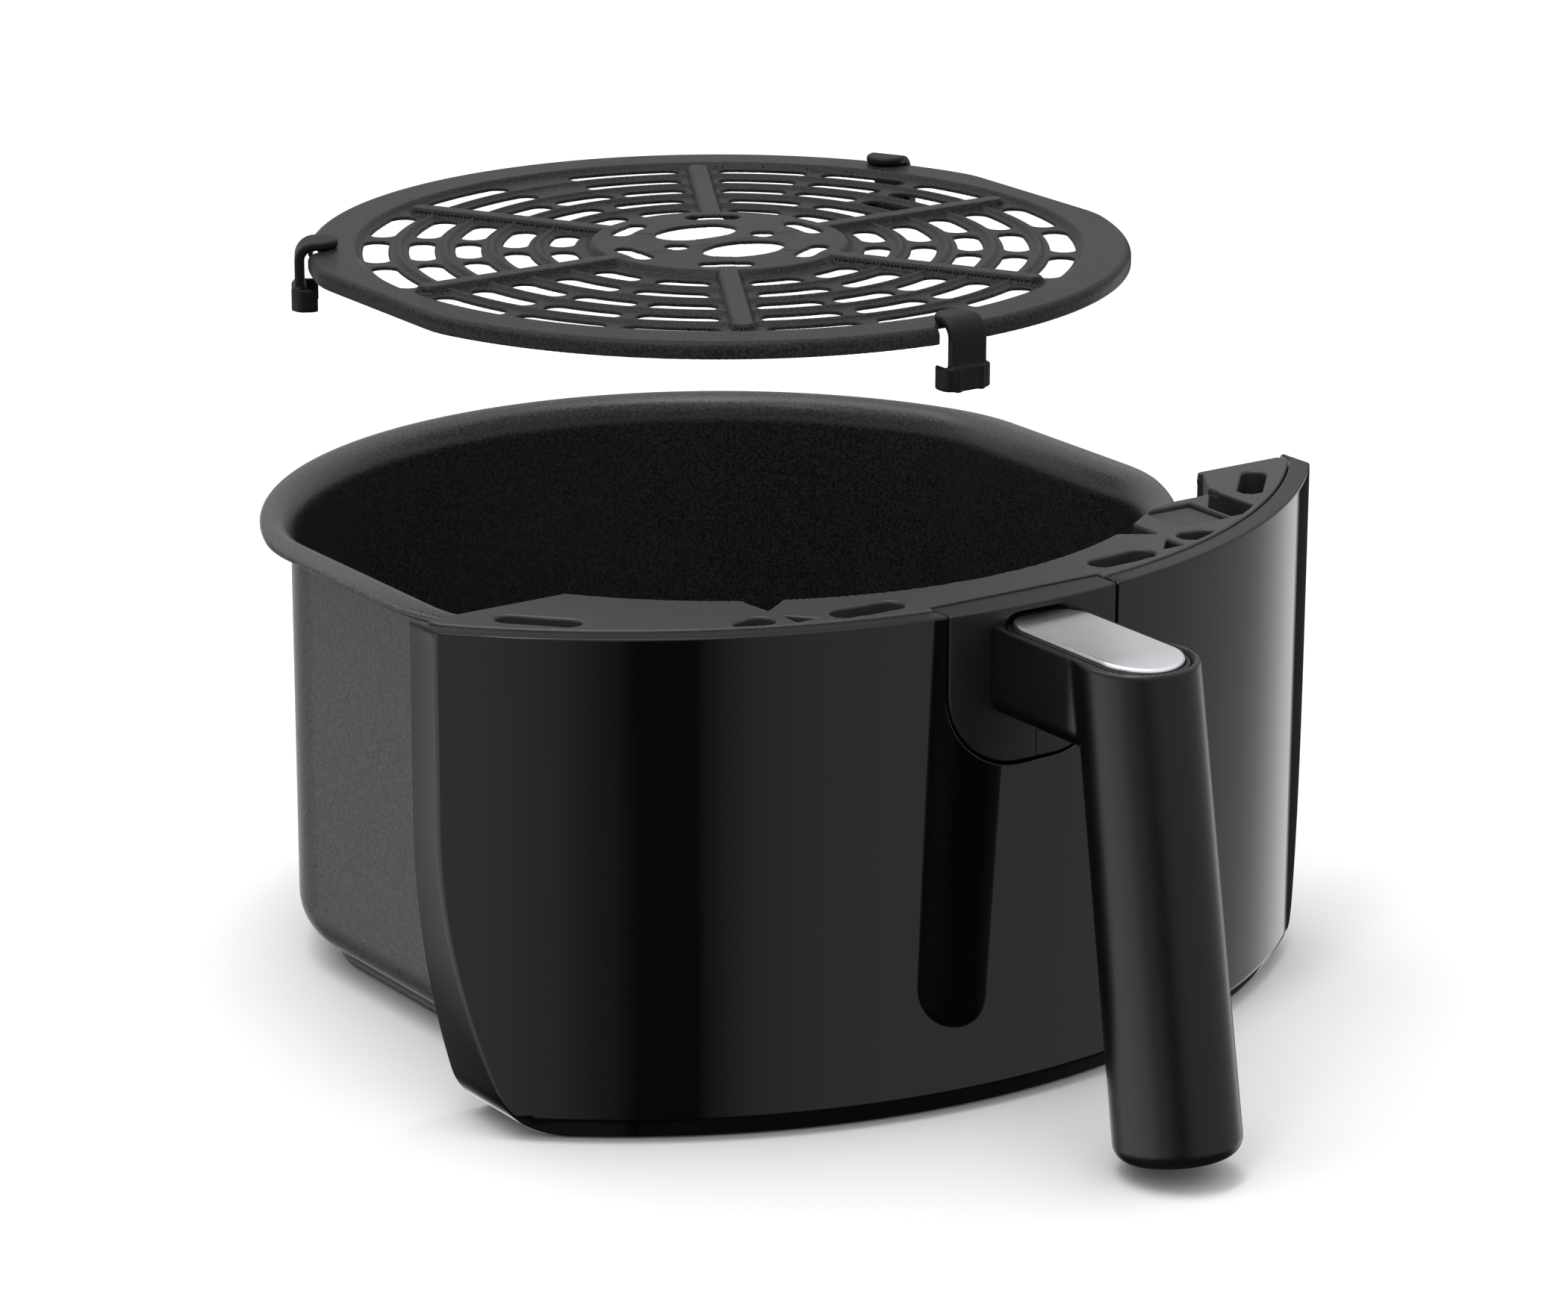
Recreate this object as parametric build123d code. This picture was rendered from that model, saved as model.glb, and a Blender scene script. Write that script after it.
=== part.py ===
from build123d import *
import os
from math import cos, radians, sin, sqrt

# Air fryer drawer: a non-stick pan with a hollow front, a handle, and a crisper plate above it.
# Origin: the pan's axis on the table. +X right, -Y towards the user, +Z up. Millimetres.

# ---- driving dimensions ----
FRONT_HEIGHT = 122.5        # top of the front above the table
FRONT_HALF_WIDTH = 127.5
FRONT_BACK_Y = -63.5        # the front's back edge
FACE_RADIUS = 171.4         # outer face of the panel, in plan
FACE_CENTRE_Y = 40.1
PANEL_WALL = 3.0
PANEL_LIP = 5.2             # width of the panel's top edge
LIP_STEP = 0.4              # the lip lies this far below the frame
PANEL_BOTTOM = 0.2          # the panel stays just off the table
BEVEL_HEIGHT = 5.5          # bevel along the panel's lower edge
BEVEL_DEPTH = 3.6
SIDE_CURVE_RADIUS = 225.0   # the panel's ends curve in below SIDE_CURVE_Z
SIDE_CURVE_Z = 75.0
LOWER_CORNER = 16.0
SEAM = 0.3                  # gap between neighbouring mouldings

PAN_RADIUS = 106.2          # outside of the wall
PAN_HALF_WIDTH = 99.0       # outside of the two flat sides
PAN_SHEET = 1.2
RIM_RADIUS = 113.8
RIM_HALF_WIDTH = 109.8
RIM_Z = 113.7
RIM_SHEET = 1.6
FLARE = 5.6                 # outside radius under the rim
PAN_BLEND = 40.0            # plan radius between the round and flat sides
PAN_FLOOR_EDGE = 13.0       # radius between wall and floor
STEP_HEIGHT = 4.0           # the lower base
STEP_INSET = 9.0

FRAME_INNER_RADIUS = 109.3  # the frame laps over the pan's rim
FRAME_PLATE = 3.0
FRAME_DEPTH = 13.0
FRAME_BODY_RADIUS = 114.4
SLOT_DEPTH = 9.0

SEAT_HALF_WIDTH = 23.9
SEAT_DROP = 38.0
SEAT_CORNER = 19.0
SEAT_THICK = 5.0

ARM_HALF_WIDTH = 13.0
ARM_TOP = 117.2
ARM_DROP = 22.0
ARM_CORNER = 6.0
GRIP_RADIUS = 14.3
GRIP_TOP_Y = -168.2         # grip axis where it meets the arm's top
GRIP_TILT = 9.75            # degrees, the foot leans away from the panel
GRIP_LENGTH = 114.8
GRIP_FOOT_RADIUS = 15.0     # the grip widens slightly towards its foot
GRIP_EDGE = 5.0
CORE_THICK = 3.0

CAP_HALF_WIDTH = 10.4
CAP_BACK_Y = -128.2         # the cap's rear sits in a niche in the seat
CAP_FRONT_Y = -178.9
CAP_REAR_CORNER = 9.0
CAP_POCKET = 3.0
CAP_PROUD = 1.4             # height of the cap's top above the arm
TRIM_MARGIN = 1.1           # outside of the gasket beyond the cap
POCKET_MARGIN = 1.4
NICHE_MARGIN = 1.5
NICHE_TOP = 120.2
SHELF_DROP = 8.5            # thickness of the seat behind the niche
SHELF_BACK_Y = -122.4

PLATE_Z = 178.5             # the plate's slotted face, held above the pan
PLATE_RADIUS = 100.6
PLATE_HALF_WIDTH = 97.2
PLATE_SHEET = 1.2
PLATE_LIP = 4.0
RIM_STEP = 1.3
PLATE_RIM_WIDTH = 12.5
HUB_RADIUS = 31.9
HUB_STEP = 1.6
CLIP_ANGLES = {"clip_front": 270, "clip_rear_right": 30, "clip_rear_left": 150}
CLIP_WIDTH = 10.0
CLIP_OUTER = 104.2
CLIP_NOSE = 98.0            # centre of the tongue's round end
CLIP_THICK = 2.2
CLIP_HEIGHT = 17.0
CLIP_FOOT = (13.4, 6.7, 5.6)            # width, depth, height

BACK_WALL = 2.0             # the back cover's thickness
BACK_WALL_RADIUS = 116.4
BACK_WALL_Y = -69.2
LUG_RADIUS = 4.2
BOSS_RADIUS = 4.0
SCREW_SHANK = 1.5
STUD_RADIUS = 2.0

FACE_AXIS = Pos(0, FACE_CENTRE_Y, 0)


# ---- helpers ----
def save(shape, name):
    if isinstance(shape, list):
        shape = Compound(shape)
    shape.label = name
    export_step(shape, f"parts/{name}.step")


def block(x0, x1, y0, y1, z0, z1):
    centre = Pos((x0 + x1) / 2, (y0 + y1) / 2, (z0 + z1) / 2)
    return centre * Box(x1 - x0, y1 - y0, z1 - z0)


def prism(points, z0, z1):
    return Pos(0, 0, z0) * extrude(make_face(Polyline(*points, close=True)), z1 - z0)


def ring(outer, inner, z0, z1, centre_y=0.0):
    sketch = Circle(outer) - Circle(inner)
    return Pos(0, centre_y, z0) * extrude(sketch, z1 - z0)


def flat_sided(radius, half_width, z0, z1, blend=PAN_BLEND):
    """A disc with two flat sides, as a prism."""
    face = Circle(radius) & Rectangle(2 * half_width, 3 * radius)
    face = fillet(face.vertices(), blend)
    return Pos(0, 0, z0) * extrude(face, z1 - z0)


def edges_at(shape, z, low=0.0, high=1e9):
    """Edges lying at one height whose middle is between two distances from the axis."""
    found = []
    for edge in shape.edges():
        box = edge.bounding_box()
        middle = edge.position_at(0.5)
        reach = sqrt(middle.X**2 + middle.Y**2)
        if abs(box.min.Z - z) < 0.01 and abs(box.max.Z - z) < 0.01 and low < reach < high:
            found.append(edge)
    return found


def screw(head_radius, head_height, shank_radius, length):
    """A pan-head screw along -Z, its head's underside at the origin."""
    head = Pos(0, 0, head_height / 2) * Cylinder(head_radius, head_height)
    head = fillet(head.edges().sort_by(Axis.Z)[-1], head_height * 0.4)
    shank = Pos(0, 0, -length / 2) * Cylinder(shank_radius, length)
    drive = Pos(0, 0, head_height) * Box(head_radius, head_radius * 0.25, head_height)
    return head + shank - drive - Rot(0, 0, 90) * drive


def outward(angle, z):
    """A place on the pan's axis whose +Z points out of the pan at an angle."""
    return Pos(0, 0, z) * Rot(0, 0, angle) * Rot(0, 90, 0)


def stud_places():
    return [outward(270 + turn, z) for turn in (-16, 16) for z in (50, 82)]


def stud_holes():
    holes = [place * Pos(0, 0, PAN_RADIUS + 10) * Cylinder(STUD_RADIUS + 0.2, 20) for place in stud_places()]
    return Compound(holes)


def panel_screw_places():
    """On the back cover's outer face, +Z towards the pan's side."""
    face = BACK_WALL_Y + BACK_WALL
    return [Pos(x, face, z) * Rot(-90, 0, 0) for x in (-108, 108) for z in (34, 92)]


def frame_screw_places():
    """On top of the back cover's lugs, +Z up into the frame."""
    top = FRONT_HEIGHT - FRAME_DEPTH - SEAM
    radius = BACK_WALL_RADIUS + LUG_RADIUS - 0.8
    return [Rot(0, 0, 270 + turn) * Pos(radius, 0, top) for turn in (-32, -17, 17, 32)]


def seat_screw_places():
    """On the back of the seat, +Z backwards."""
    back = FACE_CENTRE_Y - FACE_RADIUS + SEAT_THICK + 0.45
    return [Pos(x, back, ARM_TOP - ARM_DROP / 2 + dz) * Rot(-90, 0, 0) for x in (-8.6, 8.6) for dz in (-4.5, 4.5)]


# ---- pan ----
def pan():
    floor_top = STEP_HEIGHT
    body = flat_sided(PAN_RADIUS, PAN_HALF_WIDTH, floor_top, RIM_Z)
    body = fillet(edges_at(body, floor_top), PAN_FLOOR_EDGE)
    rim = flat_sided(RIM_RADIUS, RIM_HALF_WIDTH, RIM_Z - RIM_SHEET, RIM_Z)
    body += rim
    body = fillet(edges_at(body, RIM_Z - RIM_SHEET, high=(PAN_RADIUS + RIM_RADIUS) / 2 - 1), FLARE)
    step = flat_sided(PAN_RADIUS - STEP_INSET, PAN_HALF_WIDTH - STEP_INSET, 0, floor_top + 1)
    step = fillet(edges_at(step, 0), STEP_HEIGHT * 0.6)
    body += step
    inside = PAN_RADIUS - PAN_SHEET
    inside_half = PAN_HALF_WIDTH - PAN_SHEET
    cavity = flat_sided(inside, inside_half, floor_top + PAN_SHEET, RIM_Z + 5)
    cavity = fillet(edges_at(cavity, floor_top + PAN_SHEET), PAN_FLOOR_EDGE - PAN_SHEET)
    sink = flat_sided(inside - STEP_INSET, inside_half - STEP_INSET, PAN_SHEET, floor_top + 2)
    body -= cavity + sink
    return fillet(edges_at(body, RIM_Z, high=PAN_RADIUS), FLARE + RIM_SHEET)


def pan_hanger():
    """Steel strap welded to the pan's front, with a stiffening foot along its top."""
    strap = ring(PAN_RADIUS + 1.6, PAN_RADIUS + 0.1, 40, 95) & block(-42, 42, -120, -60, 40, 95)
    foot = ring(PAN_RADIUS + 7.6, PAN_RADIUS + 0.1, 92, 95) & block(-42, 42, -120, -60, 92, 95)
    return strap + foot


def heat_shield():
    """Thin aluminium sheet around the pan's front."""
    sheet = ring(PAN_RADIUS + 3.4, PAN_RADIUS + 2.6, 14, 91)
    return (sheet & block(-80, 80, -120, -70, 14, 91)) - stud_holes()


# ---- front ----
def front_outline(inset, bottom):
    """The front seen face on: straight ends that curve in, and rounded lower corners."""
    half = FRONT_HALF_WIDTH - inset
    radius = SIDE_CURVE_RADIUS - inset
    drop = SIDE_CURVE_Z - bottom
    foot = half - (radius - sqrt(radius**2 - drop**2))
    mid_drop = drop / 2
    mid = half - (radius - sqrt(radius**2 - mid_drop**2))
    top = FRONT_HEIGHT + 10
    right = Line((half, top), (half, SIDE_CURVE_Z))
    right_curve = ThreePointArc((half, SIDE_CURVE_Z), (mid, SIDE_CURVE_Z - mid_drop), (foot, bottom))
    base = Line((foot, bottom), (-foot, bottom))
    left_curve = ThreePointArc((-foot, bottom), (-mid, SIDE_CURVE_Z - mid_drop), (-half, SIDE_CURVE_Z))
    left = Line((-half, SIDE_CURVE_Z), (-half, top))
    face = make_face([right, right_curve, base, left_curve, left, Line((-half, top), (half, top))])
    low = [v for v in face.vertices() if abs(v.Y - bottom) < 0.01]
    return fillet(low, LOWER_CORNER - inset)


def front_solid(inset, bottom):
    """The space inside the front's face, ends and bevelled base, drawn in by inset."""
    face = front_outline(inset, bottom)
    slab = extrude(Plane.XZ * face, 250)
    radius = FACE_RADIUS - inset
    profile = Polyline(
        (0, bottom),
        (radius - BEVEL_DEPTH, bottom),
        (radius, bottom + BEVEL_HEIGHT),
        (radius, FRONT_HEIGHT),
        (0, FRONT_HEIGHT),
        close=True,
    )
    drum = FACE_AXIS * revolve(Plane.XZ * make_face(profile), Axis.Z)
    behind = block(-200, 200, FRONT_BACK_Y, 300, -10, 200)
    return (slab & drum) - behind


def seat_outline(margin):
    """U-shaped outline of the handle's seat, seen face on."""
    half = SEAT_HALF_WIDTH + margin
    bottom = FRONT_HEIGHT - SEAT_DROP - margin
    rectangle = Pos(0, (bottom + FRONT_HEIGHT + 20) / 2) * Rectangle(2 * half, FRONT_HEIGHT + 20 - bottom)
    low = rectangle.vertices().sort_by(Axis.Y)[:2]
    return extrude(Plane.XZ * fillet(low, SEAT_CORNER + margin), 250)


def front_panel():
    """Glossy moulded skin: face, ends and bevelled base, open behind and on top."""
    shell = front_solid(0, PANEL_BOTTOM) - front_solid(PANEL_WALL, PANEL_BOTTOM + PANEL_WALL)
    top = FRONT_HEIGHT - LIP_STEP
    shell &= block(-200, 200, -200, 0, -1, top)
    shell -= Cylinder(BACK_WALL_RADIUS + PANEL_WALL, 2 * BEVEL_HEIGHT)
    lip_z = top - 4
    lip = ring(FACE_RADIUS - 1, FACE_RADIUS - PANEL_LIP, lip_z, top, FACE_CENTRE_Y)
    lip &= block(-FRONT_HALF_WIDTH + 1, FRONT_HALF_WIDTH - 1, -200, FRONT_BACK_Y, lip_z, top)
    panel = shell + lip - seat_outline(0.6)
    room = front_solid(PANEL_WALL / 2, PANEL_BOTTOM + PANEL_WALL)
    for place in panel_screw_places():
        post = place * Pos(0, 0, -BACK_WALL - 14) * Cylinder(BOSS_RADIUS, 27)
        panel += (post & room) - place * Pos(0, 0, -9) * Cylinder(SCREW_SHANK + 0.1, 18)
    return panel


def frame_plan(inner_radius, z0, z1):
    """The frame in plan: between the pan's rim and the panel's lip."""
    outer = FACE_RADIUS - PANEL_LIP - SEAM
    end = FRONT_HALF_WIDTH - PANEL_WALL - SEAM
    plan = FACE_AXIS * Pos(0, 0, z0) * extrude(Circle(outer), z1 - z0)
    plan &= block(-end, end, -200, FRONT_BACK_Y - 0.5, z0, z1)
    plan -= Pos(0, 0, z0) * extrude(Circle(inner_radius), z1 - z0)
    right_gap = [(62, -60), (67, -84), (91.5, -83), (91.5, -79), (98, -68.5), (98, -60)]
    return plan - prism(right_gap, z0, z1)


def rounded_slot(x, y, length, width, angle, depth):
    face = Pos(x, y) * Rot(0, 0, angle) * SlotOverall(length, width)
    return Pos(0, 0, FRONT_HEIGHT - depth) * extrude(face, depth + 1)


def front_frame():
    """Matte moulding that closes the front's top, with its slots, notches and pockets."""
    plate_z = FRONT_HEIGHT - FRAME_PLATE
    frame = frame_plan(FRAME_INNER_RADIUS, plate_z, FRONT_HEIGHT)
    frame += frame_plan(FRAME_BODY_RADIUS, FRONT_HEIGHT - FRAME_DEPTH, plate_z)
    for side in (-1, 1):
        frame -= rounded_slot(side * 103.6, -80.9, 20.4, 6.2, side * 47, SLOT_DEPTH)
        frame -= rounded_slot(side * 64.0, -109.5, 10.7, 7.2, side * -12, SLOT_DEPTH)
        frame -= rounded_slot(side * 36.7, -115.0, 19.0, 7.2, side * 4, SLOT_DEPTH)
        notch = [(57.2, -85), (56.2, -103.5), (48.8, -98.5), (46, -85)]
        frame -= prism([(side * x, y) for x, y in notch], plate_z - 20, FRONT_HEIGHT + 1)
        wedge = [(49.5, -114.6), (55.4, -114.6), (55.4, -108.2)]
        frame -= prism([(side * x, y) for x, y in wedge], FRONT_HEIGHT - 4, FRONT_HEIGHT + 1)
    frame -= block(64.5, 79.5, -102, -86.5, FRONT_HEIGHT - 2.2, FRONT_HEIGHT + 1)
    frame -= block(81, 91.5, -102, -85, FRONT_HEIGHT - 10, FRONT_HEIGHT + 1)
    seat_space = seat_outline(SEAM) & block(-60, 60, -200, -FACE_RADIUS + FACE_CENTRE_Y + 9.5, 0, 200)
    for place in frame_screw_places():
        frame -= place * Pos(0, 0, 4) * Cylinder(SCREW_SHANK + 0.1, 8)
    return frame - seat_space


def recess_pad():
    return block(64.9, 79.1, -101.6, -86.9, FRONT_HEIGHT - 2.2, FRONT_HEIGHT - 1.2)


def back_cover():
    """Wall that closes the front's hollow towards the pan."""
    low, high = 4.6, FRONT_HEIGHT - FRAME_DEPTH - SEAM
    wall = ring(BACK_WALL_RADIUS, BACK_WALL_RADIUS - BACK_WALL, low, high)
    wall &= block(-150, 150, -200, BACK_WALL_Y + BACK_WALL, low, high)
    reach = sqrt(BACK_WALL_RADIUS**2 - BACK_WALL_Y**2) - BACK_WALL
    inner = front_solid(PANEL_WALL + SEAM, PANEL_BOTTOM + PANEL_WALL + SEAM)
    for side in (-1, 1):
        x0, x1 = sorted((side * reach, side * FRONT_HALF_WIDTH))
        wall += block(x0, x1, BACK_WALL_Y, BACK_WALL_Y + BACK_WALL, low, high) & inner
    for place in frame_screw_places():
        wall += place * Pos(0, 0, -2.2) * Cylinder(LUG_RADIUS, 4)
        wall -= place * Cylinder(SCREW_SHANK + 0.1, 12)
    for place in panel_screw_places():
        wall -= place * Cylinder(SCREW_SHANK + 0.1, 12)
    return (wall & inner) - stud_holes() - Cylinder(BACK_WALL_RADIUS - BACK_WALL, 400)


def insulation():
    """Fibre blanket between the heat shield and the back cover."""
    blanket = ring(PAN_RADIUS + 7.8, PAN_RADIUS + 4.0, 16, 88)
    return (blanket & block(-72, 72, -130, -80, 16, 88)) - stud_holes()


# ---- handle ----
def niche():
    """Arched recess that takes the cap's rear end."""
    floor_z = ARM_TOP - CAP_POCKET - 0.2
    room = Pos(0, 0, floor_z) * extrude(cap_outline(NICHE_MARGIN), NICHE_TOP - floor_z)
    return fillet(room.faces().sort_by(Axis.Z)[-1].edges(), 2.0)


def handle_seat():
    """U-shaped boss set into the panel, flush with its face."""
    top = FRONT_HEIGHT - LIP_STEP
    face_y = FACE_CENTRE_Y - FACE_RADIUS
    drum = FACE_AXIS * ring(FACE_RADIUS, FACE_RADIUS - SEAT_THICK, 0, FRONT_HEIGHT)
    seat = seat_outline(0) & drum & block(-60, 60, -200, 0, 0, top)
    low = FRONT_HEIGHT - SHELF_DROP
    shelf = seat_outline(0) & block(-60, 60, face_y + 1.5, SHELF_BACK_Y, low, top)
    seat += shelf & FACE_AXIS * Pos(0, 0, low) * extrude(Circle(FACE_RADIUS - 1), SHELF_DROP)
    seat -= niche()
    for place in seat_screw_places():
        seat -= place * Cylinder(SCREW_SHANK + 0.1, 30)
    return seat


def grip_axis():
    return Plane(origin=(0, GRIP_TOP_Y, ARM_TOP), z_dir=(0, -sin(radians(GRIP_TILT)), -cos(radians(GRIP_TILT))))


def cap_outline(margin):
    half = CAP_HALF_WIDTH + margin
    back, front = CAP_BACK_Y + margin, CAP_FRONT_Y - margin
    slab = Pos(0, (back + front) / 2) * Rectangle(2 * half, back - front)
    nose = slab.vertices().sort_by(Axis.Y)[:2]
    slab = fillet(nose, half - 0.05)
    rear = slab.vertices().sort_by(Axis.Y)[-2:]
    return fillet(rear, CAP_REAR_CORNER + margin)


def handle_grip():
    """Matte moulding: the arm and the leaning round grip in one piece."""
    root_y = FACE_CENTRE_Y - FACE_RADIUS
    arm = block(-ARM_HALF_WIDTH, ARM_HALF_WIDTH, GRIP_TOP_Y, root_y + 3, ARM_TOP - ARM_DROP, ARM_TOP)
    low = arm.edges().filter_by(Axis.Y).sort_by(Axis.Z)[:2]
    arm = fillet(low, ARM_CORNER)
    arm -= FACE_AXIS * Cylinder(FACE_RADIUS + 0.05, 400)
    shaft = grip_axis() * Pos(0, 0, GRIP_LENGTH / 2 - 6) * Cone(GRIP_RADIUS, GRIP_FOOT_RADIUS, GRIP_LENGTH + 12)
    foot = shaft.edges().sort_by(Axis.Z)[0]
    shaft = fillet(foot, GRIP_EDGE)
    shaft &= block(-30, 30, -260, -100, -5, ARM_TOP)
    pocket = Pos(0, 0, ARM_TOP - CAP_POCKET) * extrude(cap_outline(POCKET_MARGIN), CAP_POCKET + 1)
    grip = arm + shaft - pocket - core_space(0.2)
    for place in seat_screw_places():
        grip -= place * Cylinder(SCREW_SHANK + 0.1, 40)
    return grip


def core_space(margin):
    """The strap inside the handle: along the arm, then down the grip."""
    half = 5.0 + margin
    thick = CORE_THICK / 2 + margin
    z = ARM_TOP - ARM_DROP / 2
    along = block(-half, half, GRIP_TOP_Y - 3, FACE_CENTRE_Y - FACE_RADIUS + 4, z - thick, z + thick)
    down = grip_axis() * Pos(0, 0, 52.0) * Box(2 * half, 2 * thick, 86 + 2 * margin)
    return along + down


def handle_core():
    return core_space(0) - FACE_AXIS * Cylinder(FACE_RADIUS + 0.1, 400)


def cap_trim():
    """Dark gasket around the cap."""
    z0 = ARM_TOP - CAP_POCKET
    tray = Pos(0, 0, z0) * extrude(cap_outline(TRIM_MARGIN), CAP_POCKET - 0.3)
    return tray - Pos(0, 0, z0 + 1) * extrude(cap_outline(0.15), CAP_POCKET)


def chrome_cap():
    low = ARM_TOP - CAP_POCKET + 1.0
    cap = Pos(0, 0, low) * extrude(cap_outline(0), ARM_TOP + CAP_PROUD - low)
    return fillet(cap.faces().sort_by(Axis.Z)[-1].edges(), 1.1)


# ---- fasteners ----
def seat_screws():
    """Screws from behind the seat into the handle's arm."""
    return [place * screw(2.8, 2.0, SCREW_SHANK, 16) for place in seat_screw_places()]


def panel_screws():
    """Screws through the back cover into the panel's bosses."""
    return [place * Pos(0, 0, 0.05) * screw(3.2, 2.2, SCREW_SHANK, 14) for place in panel_screw_places()]


def frame_screws():
    """Screws up through the back cover's lugs into the frame."""
    under = Pos(0, 0, -4.25) * Rot(180, 0, 0)
    return [place * under * screw(2.8, 2.0, SCREW_SHANK, 10.5) for place in frame_screw_places()]


def hanger_studs():
    reach = BACK_WALL_RADIUS + 6.0
    root = PAN_RADIUS + 1.65
    return [place * Pos(0, 0, (root + reach) / 2) * Cylinder(STUD_RADIUS, reach - root) for place in stud_places()]


def hanger_washers():
    washer = Cylinder(5.0, 0.8) - Cylinder(STUD_RADIUS + 0.1, 2)
    return [place * Pos(0, 0, BACK_WALL_RADIUS + 0.95) * washer for place in stud_places()]


def hanger_nuts():
    nut = extrude(RegularPolygon(4.0, 6), 3.2) - Cylinder(STUD_RADIUS + 0.05, 20)
    return [place * Pos(0, 0, BACK_WALL_RADIUS + 1.4) * nut for place in stud_places()]


# ---- crisper plate ----
SLOT_WIDTH = 6.2
SLOT_RINGS = [
    # radius, offsets in a sector, span in degrees
    (84.0, (-18.5, 0, 18.5), 11.4),
    (72.7, (-18.5, 0, 18.5), 10.6),
    (61.4, (-18.1, 0, 18.1), 9.6),
    (50.0, (-13.0, 13.0), 14.0),
    (38.7, (-13.1, 13.1), 10.5),
]
BACK_SECTOR = 90            # behind, two pairs of longer slots leave a plain middle
BACK_RINGS = [(84.0, (-16.6, 16.6), 15.8), (72.7, (-16.1, 16.1), 15.0)] + SLOT_RINGS[2:]
HUB_SLOT = (24.9, 13.5, 4.6)            # radius, length, width
FINGER_HOLE = (10.5, 10.9, 7.1)         # distance from the middle, half length, half width
PIN_HOLE = (12.6, 2.9)                  # distance from the middle, radius


def arc_slot(radius, centre, span):
    return SlotArc(CenterArc((0, 0), radius, centre - span / 2, span), SLOT_WIDTH)


def plate_slots():
    cuts = []
    for sector in range(30, 390, 60):
        rings = BACK_RINGS if sector == BACK_SECTOR else SLOT_RINGS
        for radius, offsets, span in rings:
            cuts += [arc_slot(radius, sector + offset, span) for offset in offsets]
    radius, length, width = HUB_SLOT
    for angle in range(0, 360, 60):
        cuts.append(Rot(0, 0, angle) * Pos(radius, 0) * Rot(0, 0, 90) * SlotOverall(length, width))
    reach, half_length, half_width = FINGER_HOLE
    pin_reach, pin_radius = PIN_HOLE
    for side in (-1, 1):
        cuts.append(Pos(0, side * reach) * Ellipse(half_length, half_width))
        cuts.append(Pos(side * pin_reach, 0) * Circle(pin_radius))
    return cuts


def crisper_plate():
    sheet = flat_sided(PLATE_RADIUS, PLATE_HALF_WIDTH, 0, PLATE_SHEET, 30)
    step = PLATE_RADIUS - PLATE_RIM_WIDTH
    rim = flat_sided(PLATE_RADIUS, PLATE_HALF_WIDTH, RIM_STEP - 0.5, RIM_STEP + PLATE_SHEET, 30)
    rim -= flat_sided(step, step - 2, -1, 5, 30)
    skirt = flat_sided(PLATE_RADIUS, PLATE_HALF_WIDTH, RIM_STEP + PLATE_SHEET - PLATE_LIP, RIM_STEP, 30)
    skirt -= flat_sided(PLATE_RADIUS - 1, PLATE_HALF_WIDTH - 1, -9, 5, 30)
    plate = sheet + rim + skirt
    plate += Cylinder(HUB_RADIUS, 2 * (HUB_STEP + PLATE_SHEET)) & block(-50, 50, -50, 50, 0, 9)
    for angle in range(0, 360, 60):
        rib = block(HUB_RADIUS - 2, step - 3, -2.8, 2.8, 0.3, HUB_STEP + PLATE_SHEET)
        plate += Rot(0, 0, angle) * rib
    cutter = Pos(0, 0, -1)
    for sketch in plate_slots():
        plate -= cutter * extrude(sketch, 6)
    for angle in CLIP_ANGLES.values():
        plate -= Rot(0, 0, angle) * block(PLATE_RADIUS - 2.6, PLATE_RADIUS + 9, -6.1, 6.1, -9, 9)
    return Pos(0, 0, PLATE_Z) * plate


def clip(angle):
    """Silicone clip: a tongue over the rim, a strap through its notch, and a bumper foot."""
    half = CLIP_WIDTH / 2
    under = RIM_STEP + PLATE_SHEET + 0.05
    top = under + CLIP_THICK
    tongue = block(CLIP_NOSE, CLIP_OUTER - 1.8, -half, half, under, top)
    nose = Pos(CLIP_NOSE, 0, under + CLIP_THICK / 2) * Cylinder(half, CLIP_THICK)
    bottom = top - CLIP_HEIGHT
    strap = block(PLATE_RADIUS - 2.4, CLIP_OUTER - 0.4, -half, half, bottom + 2, top)
    width, depth, height = CLIP_FOOT
    foot = block(CLIP_OUTER - depth, CLIP_OUTER, -width / 2, width / 2, bottom, bottom + height)
    foot -= block(CLIP_OUTER - depth - 1, CLIP_OUTER - 3.4, -half + 1, half - 1, bottom - 1, bottom + height - 2)
    return Pos(0, 0, PLATE_Z) * Rot(0, 0, angle) * (tongue + nose + strap + foot)


NODES = {
    "pan": pan,
    "pan_hanger": pan_hanger,
    "hanger_studs": hanger_studs,
    "hanger_washers": hanger_washers,
    "hanger_nuts": hanger_nuts,
    "heat_shield": heat_shield,
    "insulation": insulation,
    "front_panel": front_panel,
    "front_frame": front_frame,
    "back_cover": back_cover,
    "recess_pad": recess_pad,
    "panel_screws": panel_screws,
    "frame_screws": frame_screws,
    "handle_seat": handle_seat,
    "handle_grip": handle_grip,
    "handle_core": handle_core,
    "seat_screws": seat_screws,
    "cap_trim": cap_trim,
    "chrome_cap": chrome_cap,
    "crisper_plate": crisper_plate,
}


def main():
    os.makedirs("parts", exist_ok=True)
    for name, build in NODES.items():
        save(build(), name)
    for name, angle in CLIP_ANGLES.items():
        save(clip(angle), name)


main()
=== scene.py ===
from math import atan2, cos, pi, radians, sin, sqrt

import bpy
import numpy as np
from mathutils import Matrix, Vector, geometry


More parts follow.
